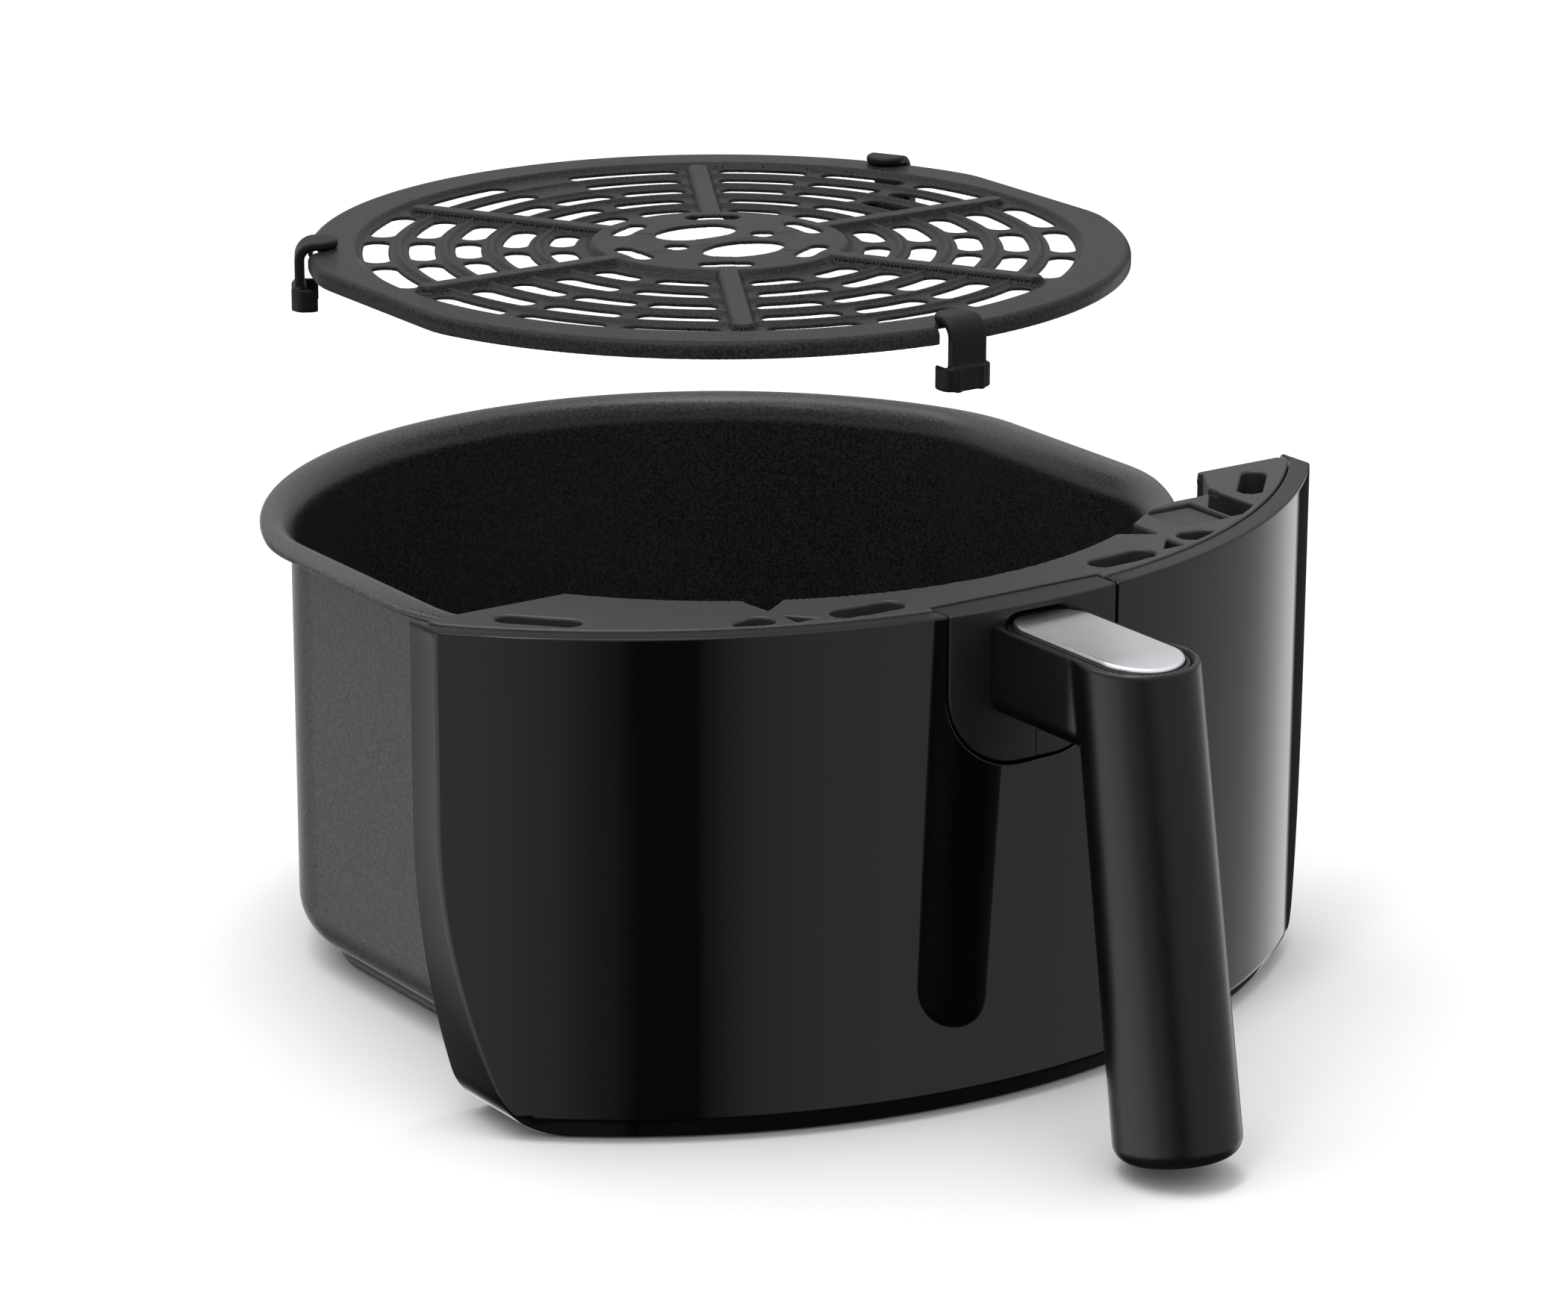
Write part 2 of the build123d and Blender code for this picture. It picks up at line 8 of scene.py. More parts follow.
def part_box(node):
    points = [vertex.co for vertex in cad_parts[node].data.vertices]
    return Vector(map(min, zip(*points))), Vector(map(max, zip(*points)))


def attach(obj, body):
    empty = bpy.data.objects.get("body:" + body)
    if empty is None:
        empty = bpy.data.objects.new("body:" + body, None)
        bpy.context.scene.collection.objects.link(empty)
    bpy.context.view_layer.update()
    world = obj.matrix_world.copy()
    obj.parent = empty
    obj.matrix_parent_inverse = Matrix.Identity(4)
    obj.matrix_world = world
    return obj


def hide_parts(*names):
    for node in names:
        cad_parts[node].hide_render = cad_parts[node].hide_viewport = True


# An air fryer's drawer: pan, hollow glossy front, handle, and the crisper plate held above it.
# Shapes are worked out in millimetres, in the CAD model's own frame, and scaled to metres.

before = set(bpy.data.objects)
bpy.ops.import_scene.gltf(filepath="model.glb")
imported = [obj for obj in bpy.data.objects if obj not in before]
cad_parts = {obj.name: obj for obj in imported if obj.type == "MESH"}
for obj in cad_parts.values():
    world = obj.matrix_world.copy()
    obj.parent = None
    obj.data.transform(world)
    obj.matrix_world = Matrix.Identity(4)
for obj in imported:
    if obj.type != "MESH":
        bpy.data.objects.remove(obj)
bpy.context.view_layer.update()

MM = 0.001

# ---- driving sizes, the same as in the CAD model ----
TOP = 122.5                 # top of the frame
PANEL_TOP = 122.1
FACE_RADIUS = 171.4         # the panel's face, about an upright axis at FACE_Y
FACE_Y = 40.1
FRONT_HALF = 127.5
FRONT_BACK = -63.5
PANEL_BASE = 0.2
BEVEL = (3.6, 5.5)          # depth, height
SIDE_RADIUS = 225.0
SIDE_Z = 75.0
CORNER = 16.0
SEAT_HALF = 23.9
SEAT_DROP = 38.0
SEAT_CORNER = 19.0
PAN_WALL = (106.2, 99.0, 40.0)       # round radius, flat half width, blend radius
RIM_REACH = (7.6, 10.8)              # rim past the wall: round part, flat part
RIM_Z = 113.7
FLARE = 5.6
SHEET = 1.2
FLOOR_EDGE = 13.0
STEP = (9.0, 4.0)                    # the base step's inset and height
PLATE_Z = 178.5
PLATE_EDGE = (100.6, 97.2, 30.0)
CLIP_REACH = 104.2
CLIP_ANGLES = {"clip_front": 270, "clip_rear_right": 30, "clip_rear_left": 150}
GRIP_TILT = radians(9.75)
GRIP_RADIUS = (14.3, 15.0)           # at the arm, at the foot

# ---- driving sizes up to 2 mm off the CAD model's, to follow the photograph more closely ----
FRAME_BACK = -66.0
SEAT_GAP = 0.6                       # between the seat and the panel
ARM_TOP = 118.4
GRIP_Y = -168.0                      # the grip's axis at the arm's top
GRIP_LENGTH = 116.0
CAP_BACK = -128.9
CAP_FRONT = -179.2
CAP_TOP = 119.3
NICHE_TOP = 120.5


# ---- meshes ----
def add_mesh(name, points, faces, normals=None):
    mesh = bpy.data.meshes.new(name)
    mesh.from_pydata((np.asarray(points) * MM).tolist(), [], [list(map(int, f)) for f in faces])
    mesh.validate()
    for polygon in mesh.polygons:
        polygon.use_smooth = True
    if normals is not None:
        mesh.normals_split_custom_set_from_vertices(np.asarray(normals).tolist())
    piece = bpy.data.objects.new(name, mesh)
    bpy.context.scene.collection.objects.link(piece)
    return piece


def stand_for(piece, node, body, look):
    piece.data.materials.append(look)
    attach(piece, body)
    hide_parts(node)


def vertex_normals(points, faces):
    """Area-weighted normals for triangles and quads given as one list."""
    points = np.asarray(points, float)
    total = np.zeros_like(points)
    for size in (3, 4):
        some = np.array([f for f in faces if len(f) == size], int).reshape(-1, size)
        one = points[some[:, 2]] - points[some[:, 0]]
        across = np.cross(one, points[some[:, -1]] - points[some[:, 1]])
        for k in range(size):
            np.add.at(total, some[:, k], across)
    return total / np.maximum(np.linalg.norm(total, axis=1, keepdims=True), 1e-12)


def volume(points, faces):
    """Six times the volume, positive where the faces look outward."""
    points = np.asarray(points, float)
    total = 0.0
    for face in faces:
        for k in range(1, len(face) - 1):
            total += np.dot(points[face[0]], np.cross(points[face[k]], points[face[k + 1]]))
    return total


def facing_out(points, faces):
    return faces if volume(points, faces) > 0 else [f[::-1] for f in faces]


# ---- distance fields, for mouldings whose edges are all rounded ----
def both(a, b, edge=0.0):
    """Inside a and b, with the edge between them rounded."""
    if not edge:
        return np.maximum(a, b)
    outside = np.hypot(np.maximum(a + edge, 0), np.maximum(b + edge, 0))
    return np.minimum(-edge, np.maximum(a, b)) + outside


def cut(a, b, edge=0.0):
    return both(a, -b, edge)


def join(a, b, fillet=0.0):
    if not fillet:
        return np.minimum(a, b)
    return -both(-a, -b, fillet)


def between(value, low, high):
    return np.maximum(low - value, value - high)


def polygon_field(x, y, corners):
    """Distance to a polygon in plan, negative inside."""
    corners = np.array(corners, float)
    nearest = np.full(np.broadcast(x, y).shape, 1e9)
    inside = np.zeros(nearest.shape, bool)
    for (ax, ay), (bx, by) in zip(corners, np.roll(corners, -1, axis=0)):
        dx, dy = bx - ax, by - ay
        along = np.clip(((x - ax) * dx + (y - ay) * dy) / (dx * dx + dy * dy), 0, 1)
        nearest = np.minimum(nearest, np.hypot(x - ax - along * dx, y - ay - along * dy))
        inside ^= ((ay > y) != (by > y)) & (x < dx * (y - ay) / (dy or 1e-9) + ax)
    return np.where(inside, -nearest, nearest)


def slot_field(x, y, place, length, width, angle):
    """Distance to a slot with round ends in plan, negative inside; the angle is from +X."""
    turn = radians(angle)
    u = (x - place[0]) * cos(turn) + (y - place[1]) * sin(turn)
    v = -(x - place[0]) * sin(turn) + (y - place[1]) * cos(turn)
    return np.hypot(np.maximum(np.abs(u) - (length - width) / 2, 0), v) - width / 2


def surface_net(field, low, high, cell):
    """A quad mesh of the surface where field is zero, with its exact normals."""
    axes = [np.arange(lo - 2 * cell, hi + 3 * cell, cell) for lo, hi in zip(low, high)]
    start = np.array([a[0] for a in axes])
    grid = np.meshgrid(*axes, indexing="ij", sparse=True)
    value = np.broadcast_to(field(*grid), [len(a) for a in axes])
    cells = np.array(value.shape) - 1
    stride = np.array([cells[1] * cells[2], cells[2], 1])
    total = np.zeros((3, cells.prod()))
    count = np.zeros(cells.prod())
    quads = []
    for axis in range(3):
        u, v = (axis + 1) % 3, (axis + 2) % 3
        first, second = [slice(None)] * 3, [slice(None)] * 3
        first[axis], second[axis] = slice(0, -1), slice(1, None)
        a, b = value[tuple(first)], value[tuple(second)]
        edge = np.argwhere((a < 0) != (b < 0))
        for k in (u, v):
            edge = edge[(edge[:, k] > 0) & (edge[:, k] < cells[k])]
        va, vb = a[tuple(edge.T)], b[tuple(edge.T)]
        point = edge.astype(float)
        point[:, axis] += va / (va - vb)
        corners = []
        for du, dv in ((-1, -1), (0, -1), (0, 0), (-1, 0)):
            flat = edge @ stride + du * stride[u] + dv * stride[v]
            corners.append(flat)
            count += np.bincount(flat, minlength=len(count))
            for k in range(3):
                total[k] += np.bincount(flat, point[:, k], len(count))
        quad = np.stack(corners, 1)
        quad[va > 0] = quad[va > 0][:, ::-1]
        quads.append(quad)
    used = count > 0
    number = np.cumsum(used) - 1
    points = (total[:, used] / count[used]).T * cell + start
    faces = number[np.concatenate(quads)]
    for _ in range(3):
        distance, slope = slope_of(field, points, cell / 8)
        step = np.clip(distance, -cell / 2, cell / 2) / np.maximum((slope**2).sum(1), 0.2)
        points = points - step[:, None] * slope
    slope = slope_of(field, points, cell / 4)[1]
    return points, faces, slope / np.linalg.norm(slope, axis=1, keepdims=True)


def slope_of(field, points, step):
    """The field and its slope at each point."""
    x, y, z = points.T
    slope = [
        field(x + step, y, z) - field(x - step, y, z),
        field(x, y + step, z) - field(x, y - step, z),
        field(x, y, z + step) - field(x, y, z - step),
    ]
    return field(x, y, z), np.stack(slope, 1) / (2 * step)


def moulding(name, field, low, high, cell):
    points, faces, normals = surface_net(field, low, high, cell)
    return add_mesh(name, points, faces, normals)


# ---- materials ----
class Nodes:
    """Adds nodes to one node tree and joins them."""

    def __init__(self, tree):
        self.tree = tree

    def node(self, kind, **settings):
        made = self.tree.nodes.new(kind)
        for key, value in settings.items():
            setattr(made, key, value)
        return made

    def feed(self, target, source):
        """Links another node's output to a socket, or gives the socket a fixed value."""
        if isinstance(source, bpy.types.NodeSocket):
            self.tree.links.new(source, target)
        else:
            target.default_value = source

    def maths(self, operation, *values):
        made = self.node("ShaderNodeMath", operation=operation)
        for socket, value in zip(made.inputs, values):
            self.feed(socket, value)
        return made.outputs[0]

    def ranged(self, source, low, high, to_low=0.0, to_high=1.0, ramp="LINEAR"):
        made = self.node("ShaderNodeMapRange", interpolation_type=ramp)
        self.feed(made.inputs["Value"], source)
        self.feed(made.inputs["From Min"], low)
        self.feed(made.inputs["From Max"], high)
        self.feed(made.inputs["To Min"], to_low)
        self.feed(made.inputs["To Max"], to_high)
        return made.outputs["Result"]


class Look(Nodes):
    """A Principled shader whose colour, roughness and bump come from noise in the object's own space."""

    def __init__(self, name, metallic=0.0, level=0.5):
        self.material = bpy.data.materials.new(name)
        self.material.use_nodes = True
        super().__init__(self.material.node_tree)
        self.shader = self.tree.nodes["Principled BSDF"]
        self.shader.inputs["Metallic"].default_value = metallic
        self.shader.inputs["Specular IOR Level"].default_value = level
        self.place = self.node("ShaderNodeTexCoord").outputs["Object"]

    def noise(self, scale, detail=3.0, stretch=(1, 1, 1)):
        mapping = self.node("ShaderNodeMapping")
        self.feed(mapping.inputs["Scale"], stretch)
        self.feed(mapping.inputs["Vector"], self.place)
        made = self.node("ShaderNodeTexNoise")
        self.feed(made.inputs["Scale"], scale)
        self.feed(made.inputs["Detail"], detail)
        self.feed(made.inputs["Vector"], mapping.outputs["Vector"])
        return made.outputs["Fac"]

    def flecks(self, scale, size):
        """Small round flecks: 1 on a fleck, 0 between."""
        cells = self.node("ShaderNodeTexVoronoi")
        self.feed(cells.inputs["Scale"], scale)
        self.feed(cells.inputs["Vector"], self.place)
        return self.ranged(cells.outputs["Distance"], size, size * 0.4)

    def mix(self, factor, dark, light):
        made = self.node("ShaderNodeMix", data_type="RGBA")
        self.feed(made.inputs["Factor"], factor)
        for name, colour in (("A", dark), ("B", light)):
            target = [s for s in made.inputs if s.name == name and s.type == "RGBA"][0]
            self.feed(target, (*colour, 1) if isinstance(colour, tuple) else colour)
        return [s for s in made.outputs if s.type == "RGBA"][0]

    def add(self, first, second, first_share=1.0, second_share=1.0):
        scaled = self.maths("MULTIPLY", first, first_share)
        return self.maths("MULTIPLY_ADD", second, second_share, scaled)

    def worn_edges(self):
        """1 on outer edges, 0 on flat and hollow places."""
        return self.ranged(self.node("ShaderNodeNewGeometry").outputs["Pointiness"], 0.52, 0.6)

    def finish(self, colour, roughness, height, depth):
        self.feed(self.shader.inputs["Base Color"], colour)
        self.feed(self.shader.inputs["Roughness"], roughness)
        bump = self.node("ShaderNodeBump")
        self.feed(bump.inputs["Distance"], depth)
        self.feed(bump.inputs["Strength"], 1.0)
        self.feed(bump.inputs["Height"], height)
        self.feed(self.shader.inputs["Normal"], bump.outputs["Normal"])
        return self.material


def moulded_plastic(name, dark, light, rough, grain=2600.0, depth=0.00002, level=0.5):
    """Spark-eroded black plastic: fine grain, faint blotches, paler worn edges."""
    look = Look(name, level=level)
    grain_noise = look.noise(grain, 2.0)
    blotch = look.noise(28.0, 4.0)
    worn = look.add(look.worn_edges(), look.noise(160.0, 4.0), 0.7, 0.15)
    base = look.mix(look.ranged(blotch, 0.35, 0.65), dark, light)
    colour = look.mix(look.ranged(worn, 0.1, 0.9, 0.0, 0.5), base, tuple(2.2 * c for c in light))
    roughness = look.ranged(look.add(grain_noise, blotch, 0.5, 0.5), 0.3, 0.7, rough - 0.05, rough + 0.06)
    return look.finish(colour, roughness, grain_noise, depth)


def gloss_plastic():
    """Polished black plastic: almost clean, with a long orange-peel ripple and faint dust."""
    look = Look("gloss_black")
    ripple = look.noise(45.0, 1.0)
    dust = look.flecks(420.0, 0.05)
    haze = look.noise(9.0, 3.0)
    colour = look.mix(look.ranged(haze, 0.3, 0.7), (0.0016, 0.0016, 0.0019), (0.0024, 0.0024, 0.0028))
    roughness = look.ranged(look.add(haze, dust, 1.0, 0.4), 0.3, 0.9, 0.018, 0.06)
    return look.finish(colour, roughness, ripple, 0.000004)


def coating(name, dark, light, rough, fleck, depth, level=0.5):
    """Non-stick coating: grainy black with paler mineral flecks."""
    look = Look(name, level=level)
    grain = look.noise(1500.0, 3.0)
    patch = look.noise(22.0, 4.0)
    flecks = look.flecks(1150.0, 0.42)
    base = look.mix(look.ranged(patch, 0.35, 0.65), dark, light)
    mottled = look.mix(look.ranged(grain, 0.42, 0.62, 0.0, 0.55), base, fleck)
    colour = look.mix(look.ranged(flecks, 0.0, 1.0, 0.0, 0.5), mottled, fleck)
    roughness = look.ranged(look.add(grain, patch, 0.6, 0.4), 0.3, 0.7, rough - 0.06, rough + 0.07)
    return look.finish(colour, roughness, look.add(grain, flecks, 1.0, 0.5), depth)


def chrome_plate():
    """Plated plastic: bright, with a soft haze and fine wiping marks along the cap."""
    look = Look("chrome", metallic=1.0)
    haze = look.noise(55.0, 4.0)
    wipe = look.noise(700.0, 2.0, (0.08, 1, 1))
    colour = look.mix(look.ranged(haze, 0.3, 0.7), (0.80, 0.82, 0.85), (0.86, 0.88, 0.90))
    roughness = look.ranged(look.add(haze, wipe, 0.6, 0.4), 0.3, 0.7, 0.20, 0.28)
    return look.finish(colour, roughness, wipe, 0.0000006)


def metal(name, dark, light, rough, stretch):
    """Bare metal with scratches drawn out along one axis and cloudy patches."""
    look = Look(name, metallic=1.0)
    scratch = look.noise(900.0, 4.0, stretch)
    patch = look.noise(60.0, 4.0)
    colour = look.mix(look.ranged(patch, 0.35, 0.65), dark, light)
    roughness = look.ranged(look.add(scratch, patch, 0.5, 0.5), 0.3, 0.7, rough - 0.08, rough + 0.1)
    return look.finish(colour, roughness, scratch, 0.00001)


def fibre_mat():
    """Needled mineral fibre: pale strands with a deep, soft bump."""
    look = Look("fibre", level=0.2)
    strands = look.noise(700.0, 6.0, (1, 1, 5))
    patch = look.noise(90.0, 4.0)
    colour = look.mix(look.ranged(strands, 0.35, 0.65), (0.52, 0.49, 0.42), (0.82, 0.80, 0.74))
    roughness = look.ranged(patch, 0.3, 0.7, 0.85, 0.97)
    return look.finish(colour, roughness, strands, 0.0006)


def rubber(name, dark, light, rough):
    """Black silicone: dull, with fine grain and pale dust."""
    look = Look(name, level=0.22)
    grain = look.noise(1900.0, 3.0)
    dust = look.flecks(900.0, 0.16)
    patch = look.noise(180.0, 4.0)
    base = look.mix(look.ranged(patch, 0.3, 0.7), dark, light)
    colour = look.mix(look.ranged(dust, 0.0, 1.0, 0.0, 0.35), base, tuple(6 * c for c in light))
    roughness = look.ranged(look.add(grain, patch, 0.5, 0.5), 0.3, 0.7, rough - 0.07, rough + 0.07)
    return look.finish(colour, roughness, grain, 0.00002)


PAN_FLECK = (0.072, 0.072, 0.074)
PLATE_FLECK = (0.034, 0.034, 0.037)

LOOKS = {
    # name, darker colour, lighter colour, roughness; for coatings also fleck, bump depth, specular level
    "gloss_black": gloss_plastic(),
    "matte_black": moulded_plastic("matte_black", (0.027, 0.027, 0.030), (0.033, 0.033, 0.037), 0.46),
    "lip_black": moulded_plastic(
        "lip_black", (0.005, 0.005, 0.0055), (0.007, 0.007, 0.0077), 0.34, level=0.22
    ),
    "seat_black": moulded_plastic("seat_black", (0.004, 0.004, 0.0045), (0.006, 0.006, 0.0066), 0.44),
    "handle_black": moulded_plastic(
        "handle_black", (0.0034, 0.0034, 0.0037), (0.0050, 0.0050, 0.0054), 0.29, level=0.42
    ),
    "grained_black": moulded_plastic(
        "grained_black", (0.012, 0.012, 0.012), (0.03, 0.03, 0.03), 0.6, grain=1100.0, depth=0.0003
    ),
    "pan_black": coating(
        "pan_black", (0.014, 0.014, 0.015), (0.019, 0.019, 0.020), 0.29, PAN_FLECK, 0.00004
    ),
    "plate_black": coating(
        "plate_black", (0.008, 0.008, 0.009), (0.012, 0.012, 0.013), 0.34, PLATE_FLECK, 0.00009, 0.10
    ),
    "chrome": chrome_plate(),
    "seal_black": rubber("seal_black", (0.005, 0.005, 0.006), (0.008, 0.008, 0.009), 0.35),
    "silicone": rubber("silicone", (0.003, 0.003, 0.003), (0.005, 0.005, 0.005), 0.50),
    "steel": metal("steel", (0.42, 0.42, 0.43), (0.58, 0.58, 0.59), 0.34, (1, 1, 0.1)),
    "foil": metal("foil", (0.68, 0.68, 0.69), (0.78, 0.78, 0.79), 0.28, (0.1, 0.1, 1)),
    "fibre": fibre_mat(),
}


# ---- pan ----
FLAT_STEPS = 6              # of a quarter of the pan's outline: the flat side,
BEND_STEPS = 10             # the blend
ROUND_STEPS = 34            # and the round part
FOOT_RADIUS = 2.4           # edge of the base
BEAD = 1.15                 # radius of the rolled rim
SHRINK = (0.8, 0.6, 0.4, 0.2)       # extra rings across the base and the floor


def flat_sided(radius, half, blend):
    """Points round a disc with two flat sides."""
    cx = half - blend
    cy = sqrt((radius - blend) ** 2 - cx**2)
    turn = atan2(cy, cx)
    flat = [(half, cy * k / FLAT_STEPS) for k in range(FLAT_STEPS)]
    bends = [turn * k / BEND_STEPS for k in range(BEND_STEPS)]
    bend = [(cx + blend * cos(a), cy + blend * sin(a)) for a in bends]
    rest = (pi / 2 - turn) / ROUND_STEPS
    rounds = [turn + rest * k for k in range(ROUND_STEPS + 1)]
    wide = [(radius * cos(a), radius * sin(a)) for a in rounds]
    quarter = np.array(flat + bend + wide)
    left = (quarter * (-1, 1))[::-1]
    return np.concatenate([quarter[:-1], left[:-1], -quarter[:-1], -left[:-1]])


def arc(centre, radius, first, last, count):
    """(across, height) points on an arc, angles in degrees."""
    angles = np.radians(np.linspace(first, last, count))
    return [(centre[0] + radius * cos(a), centre[1] + radius * sin(a)) for a in angles]


def line(first, last, count):
    """The points between two ends, without the ends."""
    return [tuple(np.add(first, np.subtract(last, first) * k / count)) for k in range(1, count)]


def pan_profile():
    """From the middle of the base, up the outside, over the rolled rim and down to the floor."""
    inset, height = STEP
    shell = FLOOR_EDGE - SHEET
    meet = np.degrees(np.arccos((FLOOR_EDGE - inset) / FLOOR_EDGE))
    outside = arc((-inset - FOOT_RADIUS, FOOT_RADIUS), FOOT_RADIUS, -90, 0, 5)
    outside += arc((-FLOOR_EDGE, height + FLOOR_EDGE), FLOOR_EDGE, -meet, 0, 12)
    flare_z = RIM_Z - 1.6 - FLARE
    outside += line((0, height + FLOOR_EDGE), (0, flare_z), 10)
    outside += arc((FLARE, flare_z), FLARE, 180, 100, 9)
    rim = arc((RIM_REACH[0] - BEAD, RIM_Z - BEAD - 0.25), BEAD, -115, 78, 12)
    lip = FLARE + 1.6
    inside = arc((lip - SHEET, RIM_Z - lip), lip, 96, 180, 12)
    inside += line((-SHEET, RIM_Z - lip), (-SHEET, height + FLOOR_EDGE), 10)
    inside += arc((-FLOOR_EDGE, height + FLOOR_EDGE), shell, 0, -76, 9)
    well = -inset - SHEET
    inside += [(well, height + 0.6)] + arc((well - 1.6, SHEET + 1.6), 1.6, 0, -90, 4)
    return outside + rim + inside


def pan_ring(across, height):
    """One level ring of the pan, across from its wall; the rim reaches further at the flat sides."""
    radius, half, blend = PAN_WALL
    past = max(across - FLARE, 0)
    extra = past * (RIM_REACH[1] - FLARE) / (RIM_REACH[0] - FLARE) - past
    outline = flat_sided(radius + across, half + across + extra, blend + across)
    return np.column_stack([outline, np.full(len(outline), height)])


def closed_loft(rings):
    """Joins rings into one closed skin; the first and last ring are filled to their middle."""
    start = [rings[0] * (s, s, 1) for s in reversed(SHRINK)]
    end = [rings[-1] * (s, s, 1) for s in SHRINK]
    rings = start + rings + end
    count = len(rings[0])
    points = np.concatenate(rings + [rings[0][:1] * (0, 0, 1), rings[-1][:1] * (0, 0, 1)])
    faces = []
    for k in range(len(rings) - 1):
        for i in range(count):
            j = (i + 1) % count
            faces.append((k * count + i, k * count + j, (k + 1) * count + j, (k + 1) * count + i))
    last = (len(rings) - 1) * count
    for i in range(count):
        j = (i + 1) % count
        faces.append((len(points) - 2, j, i))
        faces.append((len(points) - 1, last + i, last + j))
    return points, facing_out(points, faces)


def make_pan():
    points, faces = closed_loft([pan_ring(a, z) for a, z in pan_profile()])
    pan = add_mesh("pan_shell", points, faces, vertex_normals(points, faces))
    stand_for(pan, "pan", "drawer", LOOKS["pan_black"])


# ---- glossy panel ----
PANEL_THICK = 3.0
BACK_RADIUS = 119.4         # the back edge keeps outside this radius, so that it clears the pan
FACE_PITCH = 4.0            # grid of points on the face
EDGE_CLEARANCE = 1.4        # that grid stays this far inside the edge
CREASE_ROWS = (-1.4, -0.7, 0.7, 1.4, 2.9)       # its rows near the bevel's crease
FIRST_ROW = 13.0            # and the first regular one above


def face_radius(z):
    depth, height = BEVEL
    return FACE_RADIUS - depth * np.clip((PANEL_BASE + height - z) / height, 0, 1)


def on_face(x, z, depth=0.0):
    x, z = np.asarray(x, float), np.asarray(z, float)
    y = FACE_Y - np.sqrt((face_radius(z) - depth) ** 2 - x**2)
    return np.column_stack([x, y, z])


def panel_loop(side, top, seat):
    """Outline of the panel seen face on, drawn in by side, top and seat; three stretches of (x, z)."""
    middle = FRONT_HALF - SIDE_RADIUS
    fillet_z = PANEL_BASE + CORNER
    fillet_x = middle + sqrt((SIDE_RADIUS - CORNER) ** 2 - (SIDE_Z - fillet_z) ** 2)
    meet = np.degrees(atan2(fillet_z - SIDE_Z, fillet_x - middle))
    high = PANEL_TOP - top
    left = [(-FRONT_HALF + side, z) for z in np.linspace(high, SIDE_Z, 16)]
    left += [(-x, z) for x, z in arc((middle, SIDE_Z), SIDE_RADIUS - side, 0, meet, 20)[1:]]
    left += [(-x, z) for x, z in arc((fillet_x, fillet_z), CORNER - side, meet, -90, 14)[1:]]
    base = [(x, PANEL_BASE + side) for x in np.linspace(-fillet_x, fillet_x, 70)[1:-1]]
    rim = left + base + [(-x, z) for x, z in reversed(left)]
    half = SEAT_HALF + SEAT_GAP + seat
    low = TOP - SEAT_DROP - SEAT_GAP - seat
    corner = SEAT_CORNER + SEAT_GAP + seat
    lip = [(x, high) for x in np.linspace(FRONT_HALF - side - 1.5, half, 30)]
    notch = [(half, z) for z in np.linspace(high - 0.6, low + corner, 8)]
    notch += arc((half - corner, low + corner), corner, 0, -90, 14)[1:]
    notch += [(x, low) for x in np.linspace(half - corner, 0, 4)[1:-1]]
    return rim, lip, notch


def rim_points(rim, place, amount):
    """The rim at an amount under the face, along the side from the face, or ahead of the back edge."""
    points = on_face(*np.array(rim).T, amount if place == "face" else 0)
    if place == "side":
        points[:, 1] += amount
    if place == "back":
        clear = -np.sqrt(np.maximum(BACK_RADIUS**2 - points[:, 0] ** 2, 0))
        points[:, 1] = np.minimum(FRONT_BACK, clear) - amount
    return points


def panel_ring(insets, rim_place, lip_depth, notch_depth):
    """One ring in order: rim, right lip, the whole notch, left lip."""
    rim, lip, notch = panel_loop(*insets)
    rim = rim_points(rim, *rim_place)
    lip = on_face(*np.array(lip).T, lip_depth)
    notch = on_face(*np.array(notch).T, notch_depth)
    mirror = (-1, 1, 1)
    return np.concatenate([rim, lip, notch, notch[::-1] * mirror, lip[::-1] * mirror])


# Rings from the face, over the sides and the lip, to the inside of the panel:
# insets at the sides, top and notch; the rim's place; depths on the lip and in the notch.
PANEL_RINGS = [
    ((0.7, 0.6, 0.5), ("face", 0.0), 0.0, 0.0),
    ((0.12, 0.1, 0.1), ("face", 0.0), 0.1, 0.1),        # its rim is replaced by rim_rounding
    ((0.0, 0.0, 0.0), ("side", 0.75), 0.6, 0.5),
    ((0.0, 0.0, 0.0), ("back", 0.5), 4.8, 2.6),
    ((0.4, 0.4, 0.4), ("back", 0.0), 5.2, 3.0),
    ((2.6, 3.6, 0.6), ("back", 0.0), 5.2, 3.0),
    ((3.0, 4.0, 0.8), ("back", 0.4), 4.6, 3.0),
    ((3.0, 4.0, 1.0), ("face", PANEL_THICK), PANEL_THICK, PANEL_THICK),
]


def rim_rounding(face_ring, side_ring):
    """The rim half-way round the edge between the face and the sides."""
    rim = np.array(panel_loop(0, 0, 0)[0])
    corner = on_face(rim[:, 0], rim[:, 1])
    count = len(rim)
    return 0.25 * face_ring[:count] + 0.5 * corner + 0.25 * side_ring[:count]


def filled(loop, depth):
    """The panel's face inside a loop of (x, z): the loop joined to a regular grid."""
    crease_z = PANEL_BASE + BEVEL[1]
    regular = np.arange(FIRST_ROW, PANEL_TOP, FACE_PITCH)
    rows = np.concatenate([crease_z + np.array(CREASE_ROWS), regular])
    columns = np.arange(-FRONT_HALF, FRONT_HALF, FACE_PITCH)
    grid = np.array([(x, z) for x in columns for z in rows])
    crease = np.array([(x, crease_z) for x in columns])
    inner = [p[polygon_field(p[:, 0], p[:, 1], loop) < -EDGE_CLEARANCE] for p in (grid, crease)]
    flat = [Vector(p) for p in np.concatenate([loop] + inner)]
    count = len(loop)
    edges = [(i, (i + 1) % count) for i in range(count)]
    points, _, faces, *_ = geometry.delaunay_2d_cdt(flat, edges, [list(range(count))], 1, 1e-5)
    points = np.array([tuple(p) for p in points])
    return on_face(points[:, 0], points[:, 1], depth), [tuple(f) for f in faces]


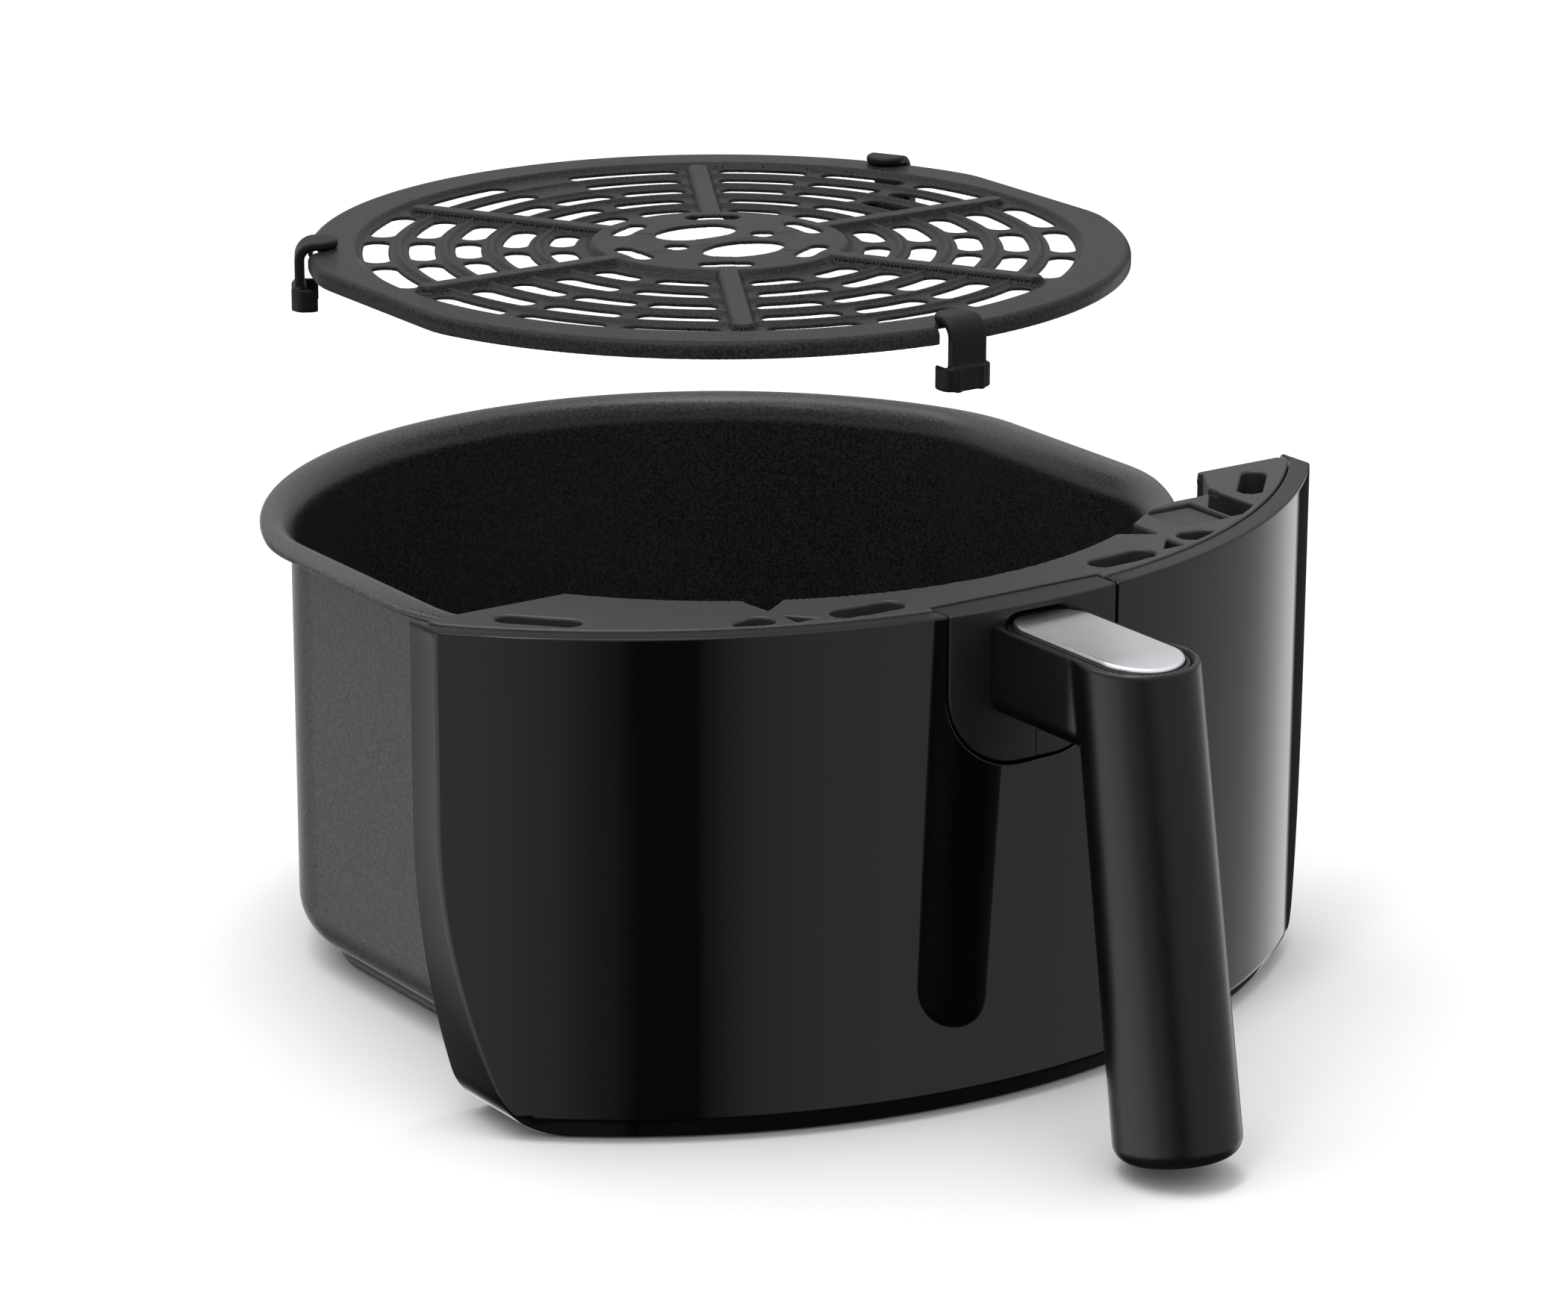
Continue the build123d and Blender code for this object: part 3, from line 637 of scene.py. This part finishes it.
def face_normals(points):
    """Normals of the curved face and of its bevel, blended over the crease between them."""
    depth, height = BEVEL
    radial = points * (1, 1, 0) - (0, FACE_Y, 0)
    radial /= np.linalg.norm(radial, axis=1, keepdims=True)
    below = PANEL_BASE + height - points[:, 2]
    tilt = atan2(depth, height) * np.clip((below + 0.3) / 0.6, 0, 1)
    return np.column_stack([radial[:, 0] * np.cos(tilt), radial[:, 1] * np.cos(tilt), -np.sin(tilt)])


def make_panel():
    rings = [panel_ring(*row) for row in PANEL_RINGS]
    rounding = rim_rounding(rings[0], rings[2])
    rings[1][: len(rounding)] = rounding
    count = len(rings[0])
    face_points, face_faces = filled(rings[0][:, [0, 2]], 0.0)
    back_points, back_faces = filled(rings[-1][:, [0, 2]], PANEL_THICK)
    points = np.concatenate([face_points] + rings[1:-1] + [back_points])
    offsets = [0] + [len(face_points) + k * count for k in range(len(rings) - 2)]
    offsets.append(len(points) - len(back_points))
    faces = list(face_faces)
    for k in range(len(rings) - 1):
        for i in range(count):
            j = (i + 1) % count
            faces.append((offsets[k] + j, offsets[k] + i, offsets[k + 1] + i, offsets[k + 1] + j))
    faces += [tuple(offsets[-1] + i for i in f[::-1]) for f in back_faces]
    normals = vertex_normals(points, faces)
    normals[: len(face_points)] = face_normals(face_points)
    panel = add_mesh("panel_skin", points, faces, normals)
    stand_for(panel, "front_panel", "drawer", LOOKS["gloss_black"])
    panel.data.materials.append(LOOKS["lip_black"])
    for polygon in panel.data.polygons:
        on_lip = polygon.center.z / MM > PANEL_TOP - 0.5
        if on_lip and polygon.normal.z > 0.75:
            polygon.material_index = 1


# ---- frame on top of the front ----
FRAME_CELL = 0.62
FRAME_INSET = 5.5           # behind the panel's face
FRAME_SIDE = 3.3            # inside the panel's sides
FRAME_DEPTH = 13.0
FRAME_PLATE = 3.0           # the thin plate that reaches furthest in
PLATE_INNER = 109.3         # radius of the frame's inner edge: the plate's
BODY_INNER = 114.4          # and the body's below it
LAND = 6.9                  # pockets stay this far behind the face
FRAME_GAP = [(62, -50), (67, -84), (91.5, -83), (91.5, -79), (98, -68.5), (98, -50)]
SLOT_DEPTH = 9.0
FRAME_SLOTS = [
    # middle, length, width, angle
    ((103.6, -80.9), 20.4, 6.2, 47),
    ((64.0, -109.5), 10.7, 7.2, -12),
    ((36.7, -115.0), 19.0, 7.2, 4),
]
# Pockets beside the seat on both sides, then the two on the right only.
RAMP_POCKET = [(57.2, -84), (56.2, -103.5), (48.8, -98.5), (45.5, -84)]
RAMP_DEPTH = 5.5
RAMP_SLOPE = 0.32
RAMP_START = -103.5
WEDGE_POCKET = [(49.5, -114.6), (55.4, -114.6), (55.4, -108.2)]
WEDGE_DEPTH = 4.0
PAD_POCKET = [(64.5, -102), (79.5, -102), (79.5, -86.5), (64.5, -86.5)]
PAD_DEPTH = 2.2
DEEP_POCKET = [(80.6, -101.5), (91.0, -101.5), (91.0, -82), (89.5, -82), (80.6, -92.5)]
DEEP_DEPTH = 10.0
SEAT_ROOM = (0.3, 9.5)      # round the seat, and the depth behind the face


def frame_plan(x, y, inner):
    outer = np.hypot(x, y - FACE_Y) - (FACE_RADIUS - FRAME_INSET)
    plan = both(outer, np.abs(x) - (FRONT_HALF - FRAME_SIDE), 1.0)
    plan = both(plan, y - FRAME_BACK, 1.0)
    plan = cut(plan, np.hypot(x, y) - inner, 0.8)
    return cut(plan, polygon_field(x, y, FRAME_GAP), 0.8)


def above(z, depth):
    """Negative where z is less than depth under the frame's top."""
    return (TOP - depth) - z


def frame_field(x, y, z):
    plate = both(frame_plan(x, y, PLATE_INNER), between(z, TOP - FRAME_PLATE, TOP), 0.55)
    body = both(frame_plan(x, y, BODY_INNER), between(z, TOP - FRAME_DEPTH, TOP - 1.5), 0.6)
    piece = join(plate, body, 0.4)
    side = np.abs(x)
    land = np.hypot(x, y - FACE_Y) - (FACE_RADIUS - LAND)
    slots = slot_field(side, y, *FRAME_SLOTS[0])
    for slot in FRAME_SLOTS[1:]:
        slots = np.minimum(slots, slot_field(side, y, *slot))
    slots = both(slots, land, 0.8)
    piece = cut(piece, both(slots, above(z, SLOT_DEPTH), 0.8), 0.7)
    ramp = above(z, RAMP_DEPTH) - RAMP_SLOPE * (y - RAMP_START)
    piece = cut(piece, both(polygon_field(side, y, RAMP_POCKET), ramp, 0.4), 0.6)
    piece = cut(piece, both(polygon_field(side, y, WEDGE_POCKET), above(z, WEDGE_DEPTH), 0.3), 0.5)
    piece = cut(piece, both(polygon_field(x, y, PAD_POCKET), above(z, PAD_DEPTH), 0.2), 0.5)
    deep = both(polygon_field(x, y, DEEP_POCKET), land, 0.3)
    return cut(piece, both(deep, above(z, DEEP_DEPTH), 0.8), 0.4)


def seat_plan(x, z, margin):
    """Distance to the seat's U seen face on."""
    half = SEAT_HALF + margin
    corner = SEAT_CORNER + margin
    low = TOP - SEAT_DROP - margin
    across = np.abs(x) - (half - corner)
    down = (low + corner) - z
    rounded = np.hypot(np.maximum(across, 0), np.maximum(down, 0)) - corner
    return np.where((across < 0) & (down < 0), np.maximum(across, down) - corner, rounded)


def frame_with_seat_room(x, y, z):
    margin, depth = SEAT_ROOM
    room = both(seat_plan(x, z, margin), y + FACE_RADIUS - FACE_Y - depth)
    return cut(frame_field(x, y, z), room, 0.3)


def make_frame():
    half = FRONT_HALF - 3
    low = (-half, -126.5, TOP - FRAME_DEPTH)
    piece = moulding("frame_top", frame_with_seat_room, low, (half, FRONT_BACK, TOP), FRAME_CELL)
    stand_for(piece, "front_frame", "drawer", LOOKS["matte_black"])


# ---- handle ----
SEAT_CELL = 0.42
SEAT_THICK = 5.0
SHELF_THICK = 8.5           # the seat's shelf, down from the frame's top
SHELF_BACK = -122.4
SHELF_FRONT = -135.0        # ahead of the face, which ends the shelf
NICHE_ROOM = 1.5            # round the cap's rear end
NICHE_DEPTH = 3.2
PARTING = (-0.4, 0.16, 20.0)        # groove in the seat: place, radius, how far down it starts

GRIP_CELL = 0.62
ARM_HALF = 13.0
ARM_BACK = -129.0
ARM_FRONT = GRIP_Y - 4      # inside the grip
ARM_REAR_CORNER = 0.6
ARM_HEIGHT = 22.0
ARM_ROUND = 5.5             # along the arm's lower edges
FOOT_ROUND = 4.6
DISH_DEPTH = 3.0            # hollow for the cap and its trim
DISH_MARGIN = 1.5           # past the cap
DISH_FLARE = 0.9

CAP_CELL = 0.28
CAP_HALF = 10.4
CAP_REAR_CORNER = 9.8
CAP_DEPTH = 2.0             # below the arm's top
NOSE_START = -168.0         # forward of this the cap's crown falls
NOSE_LENGTH = 11.0
NOSE_DROP = 0.7

TRIM_CELL = 0.35
TRIM_REACH = (0.15, 1.35)   # inside and outside, past the cap
TRIM_HEIGHT = (-2.9, -0.6)  # from the arm's top


def seat_field(x, y, z):
    radial = np.hypot(x, y - FACE_Y)
    outline = both(seat_plan(x, z, 0.0), z - PANEL_TOP, 0.4)
    seat = both(outline, between(radial, FACE_RADIUS - SEAT_THICK, FACE_RADIUS), 0.45)
    shelf = both(seat_plan(x, z, 0.0), between(z, TOP - SHELF_THICK, PANEL_TOP), 0.4)
    shelf = both(shelf, radial - FACE_RADIUS, 0.45)
    seat = join(seat, both(shelf, between(y, SHELF_FRONT, SHELF_BACK), 0.3))
    niche = both(pill(x, y, NICHE_ROOM), z - NICHE_TOP, 2.6)
    seat = cut(seat, both(niche, (ARM_TOP - NICHE_DEPTH) - z), 0.35)
    place, groove, start = PARTING
    parting = np.hypot(x - place, radial - FACE_RADIUS) - groove
    return cut(seat, both(parting, z - (ARM_TOP - start)), 0.1)


def make_seat():
    low = (-SEAT_HALF, -131.4, TOP - SEAT_DROP)
    piece = moulding("handle_mount", seat_field, low, (SEAT_HALF, -122.3, PANEL_TOP), SEAT_CELL)
    stand_for(piece, "handle_seat", "drawer", LOOKS["seat_black"])


def pill(x, y, margin, half=CAP_HALF, back=CAP_BACK, front=CAP_FRONT, rear_corner=CAP_REAR_CORNER):
    """Distance to the cap's outline in plan, or one like it: a round nose and smaller rear corners."""
    half = half + margin
    back, front = back + margin, front - margin
    middle = (back + front) / 2
    corner = np.where(y < middle, half, rear_corner + margin)
    across = np.abs(x) - (half - corner)
    along = np.abs(y - middle) - ((back - front) / 2 - corner)
    outside = np.hypot(np.maximum(across, 0), np.maximum(along, 0))
    return outside + np.minimum(np.maximum(across, along), 0) - corner


def arm_field(x, y, z):
    """The level arm that comes out of the seat."""
    plan = pill(x, y, 0.0, ARM_HALF, ARM_BACK, ARM_FRONT, ARM_REAR_CORNER)
    arm = both(plan, z - ARM_TOP, 0.9)
    arm = both(arm, (ARM_TOP - ARM_HEIGHT) - z, ARM_ROUND)
    return both(arm, FACE_RADIUS + 0.05 - np.hypot(x, y - FACE_Y), 0.2)


def shaft_field(x, y, z):
    """The leaning round grip, a little thicker at its foot."""
    drop = ARM_TOP - z
    along = drop * cos(GRIP_TILT) - (y - GRIP_Y) * sin(GRIP_TILT)
    across = (y - GRIP_Y) * cos(GRIP_TILT) + drop * sin(GRIP_TILT)
    thin, thick = GRIP_RADIUS
    shaft = np.hypot(x, across) - (thin + (thick - thin) * along / GRIP_LENGTH)
    shaft = both(shaft, along - GRIP_LENGTH, FOOT_ROUND)
    return both(shaft, z - ARM_TOP, 0.9)


def grip_field(x, y, z):
    grip = join(arm_field(x, y, z), shaft_field(x, y, z), 0.9)
    dish = pill(x, y, DISH_MARGIN) - DISH_FLARE * np.maximum(z - (ARM_TOP - 0.8), 0)
    return cut(grip, both(dish, (ARM_TOP - DISH_DEPTH) - z), 0.25)


def cap_field(x, y, z):
    nose = np.maximum(NOSE_START - y, 0) / NOSE_LENGTH
    crown = CAP_TOP - NOSE_DROP * nose**2.2
    return both(both(pill(x, y, 0.0), z - crown, 0.8), (ARM_TOP - CAP_DEPTH) - z, 0.3)


def trim_field(x, y, z):
    inside, outside = TRIM_REACH
    bottom, top = TRIM_HEIGHT
    ring = cut(pill(x, y, outside), pill(x, y, inside), 0.3)
    return both(ring, between(z, ARM_TOP + bottom, ARM_TOP + top), 0.35)


def make_handle():
    grip = moulding("grip", grip_field, (-15.2, -206.0, -0.5), (15.2, -129.0, ARM_TOP), GRIP_CELL)
    stand_for(grip, "handle_grip", "drawer", LOOKS["handle_black"])
    cap_low = (-10.5, CAP_FRONT, ARM_TOP - 2.2)
    cap = moulding("cap", cap_field, cap_low, (10.5, CAP_BACK, CAP_TOP), CAP_CELL)
    stand_for(cap, "chrome_cap", "drawer", LOOKS["chrome"])
    trim_high = (12.3, CAP_BACK + 2, ARM_TOP - 0.5)
    trim = moulding("cap_gasket", trim_field, (-12.3, -181, ARM_TOP - 3), trim_high, TRIM_CELL)
    stand_for(trim, "cap_trim", "drawer", LOOKS["seal_black"])


# ---- crisper plate and its clips ----
PLATE_CELL = 0.46
PLATE_SHEET = 1.0
PLATE_SKIRT = 1.5           # the rim's edge, below PLATE_Z
SLOT_WIDTH = 6.2
SLOT_RINGS = [
    # radius, offsets in a sixth of the plate, span in degrees
    (84.0, (-18.5, 0, 18.5), 11.4),
    (72.7, (-18.5, 0, 18.5), 10.6),
    (61.4, (-18.1, 0, 18.1), 9.6),
    (50.0, (-13.0, 13.0), 14.0),
    (38.7, (-13.1, 13.1), 10.5),
]
BACK_RINGS = [(84.0, (-16.6, 16.6), 15.8), (72.7, (-16.1, 16.1), 15.0)]
HUB_SLOTS = (24.9, 13.5, 4.6)       # radius, length, width
FINGER_HOLE = (10.9, 7.1, 10.5)     # half length, half width, distance from the middle
PIN_HOLE = (12.6, 2.9)              # distance from the middle, radius
RIDGES = (78.3, 67.1, 55.7, 44.4)   # radii between the slots
RIDGE = (0.8, 1.7)                  # height, half width
RIB = (1.7, 3.6, 1.7)               # height, half width, width of its slope
RIB_END = 83.0
HUB = (1.6, 33.2, 2.4)              # height, radius, width of its slope
RIM = (1.3, 87.4, 2.2)              # height, radius where it starts, width of its slope
CLIP_NOTCH = (98.0, 6.1)            # distance from the middle, half width

CLIP_CELL = 0.4
CLIP_RISE = 2.25                    # over the rim
CLIP_HEIGHT = 17.0
STRAP_INSET = 0.5                   # behind the foot's face
STRAP_THICK = (2.4, 2.15)           # outside the rim, over it
STRAP_NOSE = (98.0, 5.0)            # its round inner end: distance from the middle, radius
FOOT = (6.7, 6.7, 5.6)              # depth, half width, height
FOOT_ROOM = (1.3, 5.5)              # wall outside the hollow, half the hollow's width
HEEL = (3.2, 4.4)                   # thickness and half width of the block in the hollow
CLIP_RIB = (3.3, 0.55, 0.95)        # sideways, behind the clip's face, radius


def ring_slots(distance, turn, radius, offsets, span):
    """Distance to the bent slots of one ring; turn is the angle from the sector's middle."""
    nearest = np.full(np.broadcast(distance, turn).shape, 1e9)
    for offset in offsets:
        along = np.maximum(np.abs(turn - offset) - span / 2, 0) * (pi / 180) * radius
        nearest = np.minimum(nearest, np.hypot(distance - radius, along))
    return nearest - SLOT_WIDTH / 2


def plate_holes(x, y):
    distance = np.hypot(x, y)
    angle = np.degrees(np.arctan2(y, x))
    turn = np.mod(angle, 60) - 30
    behind = (angle > 60) & (angle < 120)
    holes = np.full(distance.shape, 1e9)
    for index, (radius, offsets, span) in enumerate(SLOT_RINGS):
        ring = ring_slots(distance, turn, radius, offsets, span)
        if index < len(BACK_RINGS):
            ring = np.where(behind, ring_slots(distance, turn, *BACK_RINGS[index]), ring)
        holes = np.minimum(holes, ring)
    radius, length, width = HUB_SLOTS
    for bearing in range(0, 360, 60):
        place = (radius * cos(radians(bearing)), radius * sin(radians(bearing)))
        holes = np.minimum(holes, slot_field(x, y, place, length, width, bearing + 90))
    long, short, offset = FINGER_HOLE
    finger = (np.hypot(x / long, (np.abs(y) - offset) / short) - 1) * 8.0      # roughly a distance
    offset, radius = PIN_HOLE
    pin = np.hypot(np.abs(x) - offset, y) - radius
    return np.minimum(np.minimum(holes, finger), pin)


def bump(distance, half):
    """A smooth hump, 1 in the middle and 0 beyond half."""
    hump = 0.5 + 0.5 * np.cos(pi * np.clip(distance / half, -1, 1))
    return np.where(np.abs(distance) < half, hump, 0)


def plate_height(x, y):
    """The plate's top above PLATE_Z: ridges between the slots, ribs, hub and raised rim."""
    distance = np.hypot(x, y)
    height = np.zeros(distance.shape)
    for ridge in RIDGES:
        height = np.maximum(height, RIDGE[0] * bump(distance - ridge, RIDGE[1]))
    turn = np.radians(np.mod(np.degrees(np.arctan2(y, x)) + 30, 60) - 30)
    across = np.abs(distance * np.sin(turn))
    along = distance * np.cos(turn)
    beyond = np.hypot(across, np.maximum(along - RIB_END, 0))
    rib = np.clip((RIB[1] - beyond) / RIB[2], 0, 1) * (along > 0)
    hub = np.clip((HUB[1] - distance) / HUB[2], 0, 1)
    rim = np.clip((distance - RIM[1]) / RIM[2], 0, 1)
    for share, rise in ((rib, RIB[0]), (hub, HUB[0]), (rim, RIM[0])):
        height = np.maximum(height, rise * share * share * (3 - 2 * share))
    return height + SHEET


def plate_outline(x, y):
    radius, half, blend = PLATE_EDGE
    cx = half - blend
    cy = sqrt((radius - blend) ** 2 - cx**2)
    x, y = np.abs(x), np.abs(y)
    bend = np.hypot(x - cx, y - cy) - blend
    in_bend = (y > cy) & (np.arctan2(y, x) < atan2(cy, cx))
    flat = np.where(y <= cy, x - half, np.hypot(x, y) - radius)
    return np.where(in_bend, bend, flat)


def plate_field(x, y, z):
    outline = plate_outline(x, y)
    top = PLATE_Z + plate_height(x, y)
    inside = both(outline + PLATE_SHEET, z - top + PLATE_SHEET, 1.2)
    shell = cut(both(outline, z - top, 2.0), inside)
    shell = both(shell, (PLATE_Z - PLATE_SKIRT) - z, 0.4)
    holes = plate_holes(x, y)
    distance, half = CLIP_NOTCH
    for angle in CLIP_ANGLES.values():
        u, v = turned(x, y, angle)
        holes = np.minimum(holes, both(distance - u, np.abs(v) - half, 1.8))
    return cut(shell, holes, 0.45)


def turned(x, y, angle):
    """Outward and sideways distances for a place at an angle round the axis."""
    c, s = cos(radians(angle)), sin(radians(angle))
    return x * c + y * s, -x * s + y * c


def clip_strap(u, v, z, top):
    """The strap that runs over the plate's rim and down outside it."""
    down, over = STRAP_THICK
    face = CLIP_REACH - STRAP_INSET
    outer = both(u - face, z - top, 5.0)
    inner = both(u - (face - down), z - (top - over), 2.6)
    distance, radius = STRAP_NOSE
    plan = np.hypot(np.maximum(distance - u, 0), v) - radius
    strap = both(cut(outer, inner), plan, 0.8)
    return both(strap, (top - CLIP_HEIGHT + 0.5) - z, 0.4)


def clip_foot(u, v, z, bottom):
    """The hollow foot at the strap's lower end, with a heel inside and two ribs on its face."""
    depth, half, height = FOOT
    wall, room_half = FOOT_ROOM
    side = np.abs(v)
    box = both(both(u - CLIP_REACH, (CLIP_REACH - depth) - u, 1.2), side - half, 2.6)
    box = both(box, between(z, bottom, bottom + height), 0.5)
    room = both(both(u - (CLIP_REACH - wall), (CLIP_REACH - 9.0) - u), side - room_half, 1.6)
    foot = cut(box, room, 0.3)
    heel_thick, heel_half = HEEL
    heel = both(box, (CLIP_REACH - heel_thick) - u)
    foot = join(foot, both(heel, side - heel_half, 0.3), 0.3)
    place, behind, radius = CLIP_RIB
    ribs = np.hypot(side - place, u - (CLIP_REACH - behind)) - radius
    return join(foot, both(ribs, between(z, bottom - 0.2, bottom + 5.5), 0.3), 0.2)


def clip_field(angle):
    top = PLATE_Z + RIM[0] + SHEET + CLIP_RISE

    def field(x, y, z):
        u, v = turned(x, y, angle)
        return join(clip_strap(u, v, z, top), clip_foot(u, v, z, top - CLIP_HEIGHT), 0.8)

    return field


def make_plate():
    reach = PLATE_EDGE[0]
    low, high = PLATE_Z - 1.6, PLATE_Z + 3.0
    plate = moulding("plate", plate_field, (-reach, -reach, low), (reach, reach, high), PLATE_CELL)
    stand_for(plate, "crisper_plate", "plate", LOOKS["plate_black"])
    for node, angle in CLIP_ANGLES.items():
        low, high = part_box(node)
        margin = 1.0
        start = [v / MM - margin for v in low]
        end = [v / MM + margin for v in high]
        clip = moulding(node + "_rubber", clip_field(angle), start, end, CLIP_CELL)
        stand_for(clip, node, "plate", LOOKS["silicone"])


# ---- CAD parts that keep their shape ----
def dress(look, *nodes):
    for node in nodes:
        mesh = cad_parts[node].data
        mesh.materials.clear()
        mesh.materials.append(look)


def dress_hidden_parts():
    dress(LOOKS["matte_black"], "back_cover")
    dress(LOOKS["grained_black"], "recess_pad")
    dress(LOOKS["steel"], "pan_hanger", "hanger_studs", "hanger_washers", "hanger_nuts", "handle_core")
    dress(LOOKS["steel"], "panel_screws", "frame_screws", "seat_screws")
    dress(LOOKS["foil"], "heat_shield")
    dress(LOOKS["fibre"], "insulation")


# ---- studio ----
CAMERA_PLACE = (-0.74463, -1.11039, 0.49636)
CAMERA_AIM = (0.01228, -0.01052, 0.07522)
CAMERA_ROLL = 0.1731
CAMERA_LENS = 128.57
FLOOR_HALF = 9000.0
FLOOR_PARTS = 24
FLOOR_Z = -0.15

# Brightness of the studio's lower surroundings by compass direction: degrees from -Y towards +X.
# The glossy panel mirrors them, so each step here is an edge between light and dark on its face.
SURROUND = [
    (-180, 0.35), (-162, 0.25), (-152, 0.6), (-143, 1.1), (-110, 1.5), (-75, 1.2), (-66, 0.62),
    (-57, 0.58), (-46, 0.40), (-39, 0.2), (-34.5, 0.1), (-33.0, 0.02), (-22.5, 0.02), (-21.0, 0.12),
    (-13, 0.38), (-5, 0.5), (10, 0.58), (60, 0.5), (90, 0.55), (97, 0.68), (105, 1.0), (112, 1.3),
    (118.5, 1.35), (120, 0.03), (137, 0.03), (139, 1.2), (160, 1.0), (180, 0.4),
]
SURROUND_SCALE = 2.0        # the curve's own values stay under 1


def make_camera():
    data = bpy.data.cameras.new("camera")
    data.lens = CAMERA_LENS
    data.sensor_width = 36.0
    data.clip_end = 50.0
    camera = bpy.data.objects.new("camera", data)
    bpy.context.scene.collection.objects.link(camera)
    roll = Matrix.Rotation(radians(CAMERA_ROLL), 4, "Z")
    camera.matrix_world = aimed(CAMERA_PLACE, CAMERA_AIM) @ roll
    bpy.context.scene.camera = camera


def aimed(place, aim):
    """The pose of a camera or light at a place, pointed at aim."""
    turn = (Vector(aim) - Vector(place)).to_track_quat("-Z", "Y")
    return Matrix.Translation(place) @ turn.to_matrix().to_4x4()


def make_floor():
    lines = np.linspace(-FLOOR_HALF, FLOOR_HALF, FLOOR_PARTS + 1)
    points = [(x, y, FLOOR_Z) for x in lines for y in lines]
    faces = []
    for i in range(FLOOR_PARTS):
        for j in range(FLOOR_PARTS):
            a = i * (FLOOR_PARTS + 1) + j
            b = a + FLOOR_PARTS + 1
            faces.append((a, b, b + 1, a + 1))
    floor = add_mesh("floor", points, faces)
    look = Look("floor", level=0.1)
    patch = look.noise(1.5, 2.0)
    colour = look.mix(patch, (0.93, 0.93, 0.93), (0.95, 0.95, 0.95))
    roughness = look.ranged(patch, 0.0, 1.0, 0.8, 0.9)
    floor.data.materials.append(look.finish(colour, roughness, patch, 0.00001))
    floor.visible_glossy = False


def soft_light(name, place, aim, size, power):
    data = bpy.data.lights.new(name, "AREA")
    data.shape = "RECTANGLE"
    data.size, data.size_y = size
    data.energy = power
    light = bpy.data.objects.new(name, data)
    bpy.context.scene.collection.objects.link(light)
    light.matrix_world = aimed(place, aim)


def surround_curve(nodes):
    """A curve node with SURROUND's levels, each angle as a share of the full turn."""
    made = nodes.node("ShaderNodeFloatCurve")
    points = made.mapping.curves[0].points
    places = [((angle + 180) / 360, level / SURROUND_SCALE) for angle, level in SURROUND]
    points[0].location = places[0]
    points[-1].location = places[-1]
    for place in places[1:-1]:
        points.new(*place)
    for point in points:
        point.handle_type = "VECTOR"
    made.mapping.update()
    return made


def make_world():
    """A sky that brightens upward, over surroundings that change with the compass and fade out below."""
    world = bpy.data.worlds.new("studio")
    bpy.context.scene.world = world
    world.use_nodes = True
    nodes = Nodes(world.node_tree)
    parts = nodes.node("ShaderNodeSeparateXYZ")
    nodes.feed(parts.inputs[0], nodes.node("ShaderNodeTexCoord").outputs["Generated"])
    ahead = nodes.maths("MULTIPLY", parts.outputs["Y"], -1.0)
    compass = nodes.maths("ARCTAN2", parts.outputs["X"], ahead)
    curve = surround_curve(nodes)
    nodes.feed(curve.inputs["Value"], nodes.ranged(compass, -pi, pi))
    level = nodes.maths("MULTIPLY", curve.outputs[0], SURROUND_SCALE)
    up = parts.outputs["Z"]
    around = nodes.maths("MULTIPLY", level, nodes.ranged(up, -0.62, -0.46, 0.04, 1.0))
    sky = nodes.ranged(up, 0.0, 0.8, 0.34, 1.0)
    mixed = nodes.node("ShaderNodeMix")
    nodes.feed(mixed.inputs["Factor"], nodes.ranged(up, -0.02, 0.12, ramp="SMOOTHSTEP"))
    nodes.feed(mixed.inputs["A"], around)
    nodes.feed(mixed.inputs["B"], sky)
    background = world.node_tree.nodes["Background"]
    nodes.feed(background.inputs["Color"], mixed.outputs["Result"])
    nodes.feed(background.inputs["Strength"], 1.0)


def make_studio():
    make_camera()
    make_floor()
    make_world()
    soft_light("overhead", (-0.4, 0.4, 2.4), (0, 0, 0), (2.4, 2.4), 26.0)
    soft_light("strip", (-0.35, -0.2, 2.2), (0, -0.05, 0.1), (0.22, 1.6), 9.0)
    bpy.context.scene.view_settings.view_transform = "Standard"


make_pan()
make_panel()
make_frame()
make_seat()
make_handle()
make_plate()
dress_hidden_parts()
make_studio()
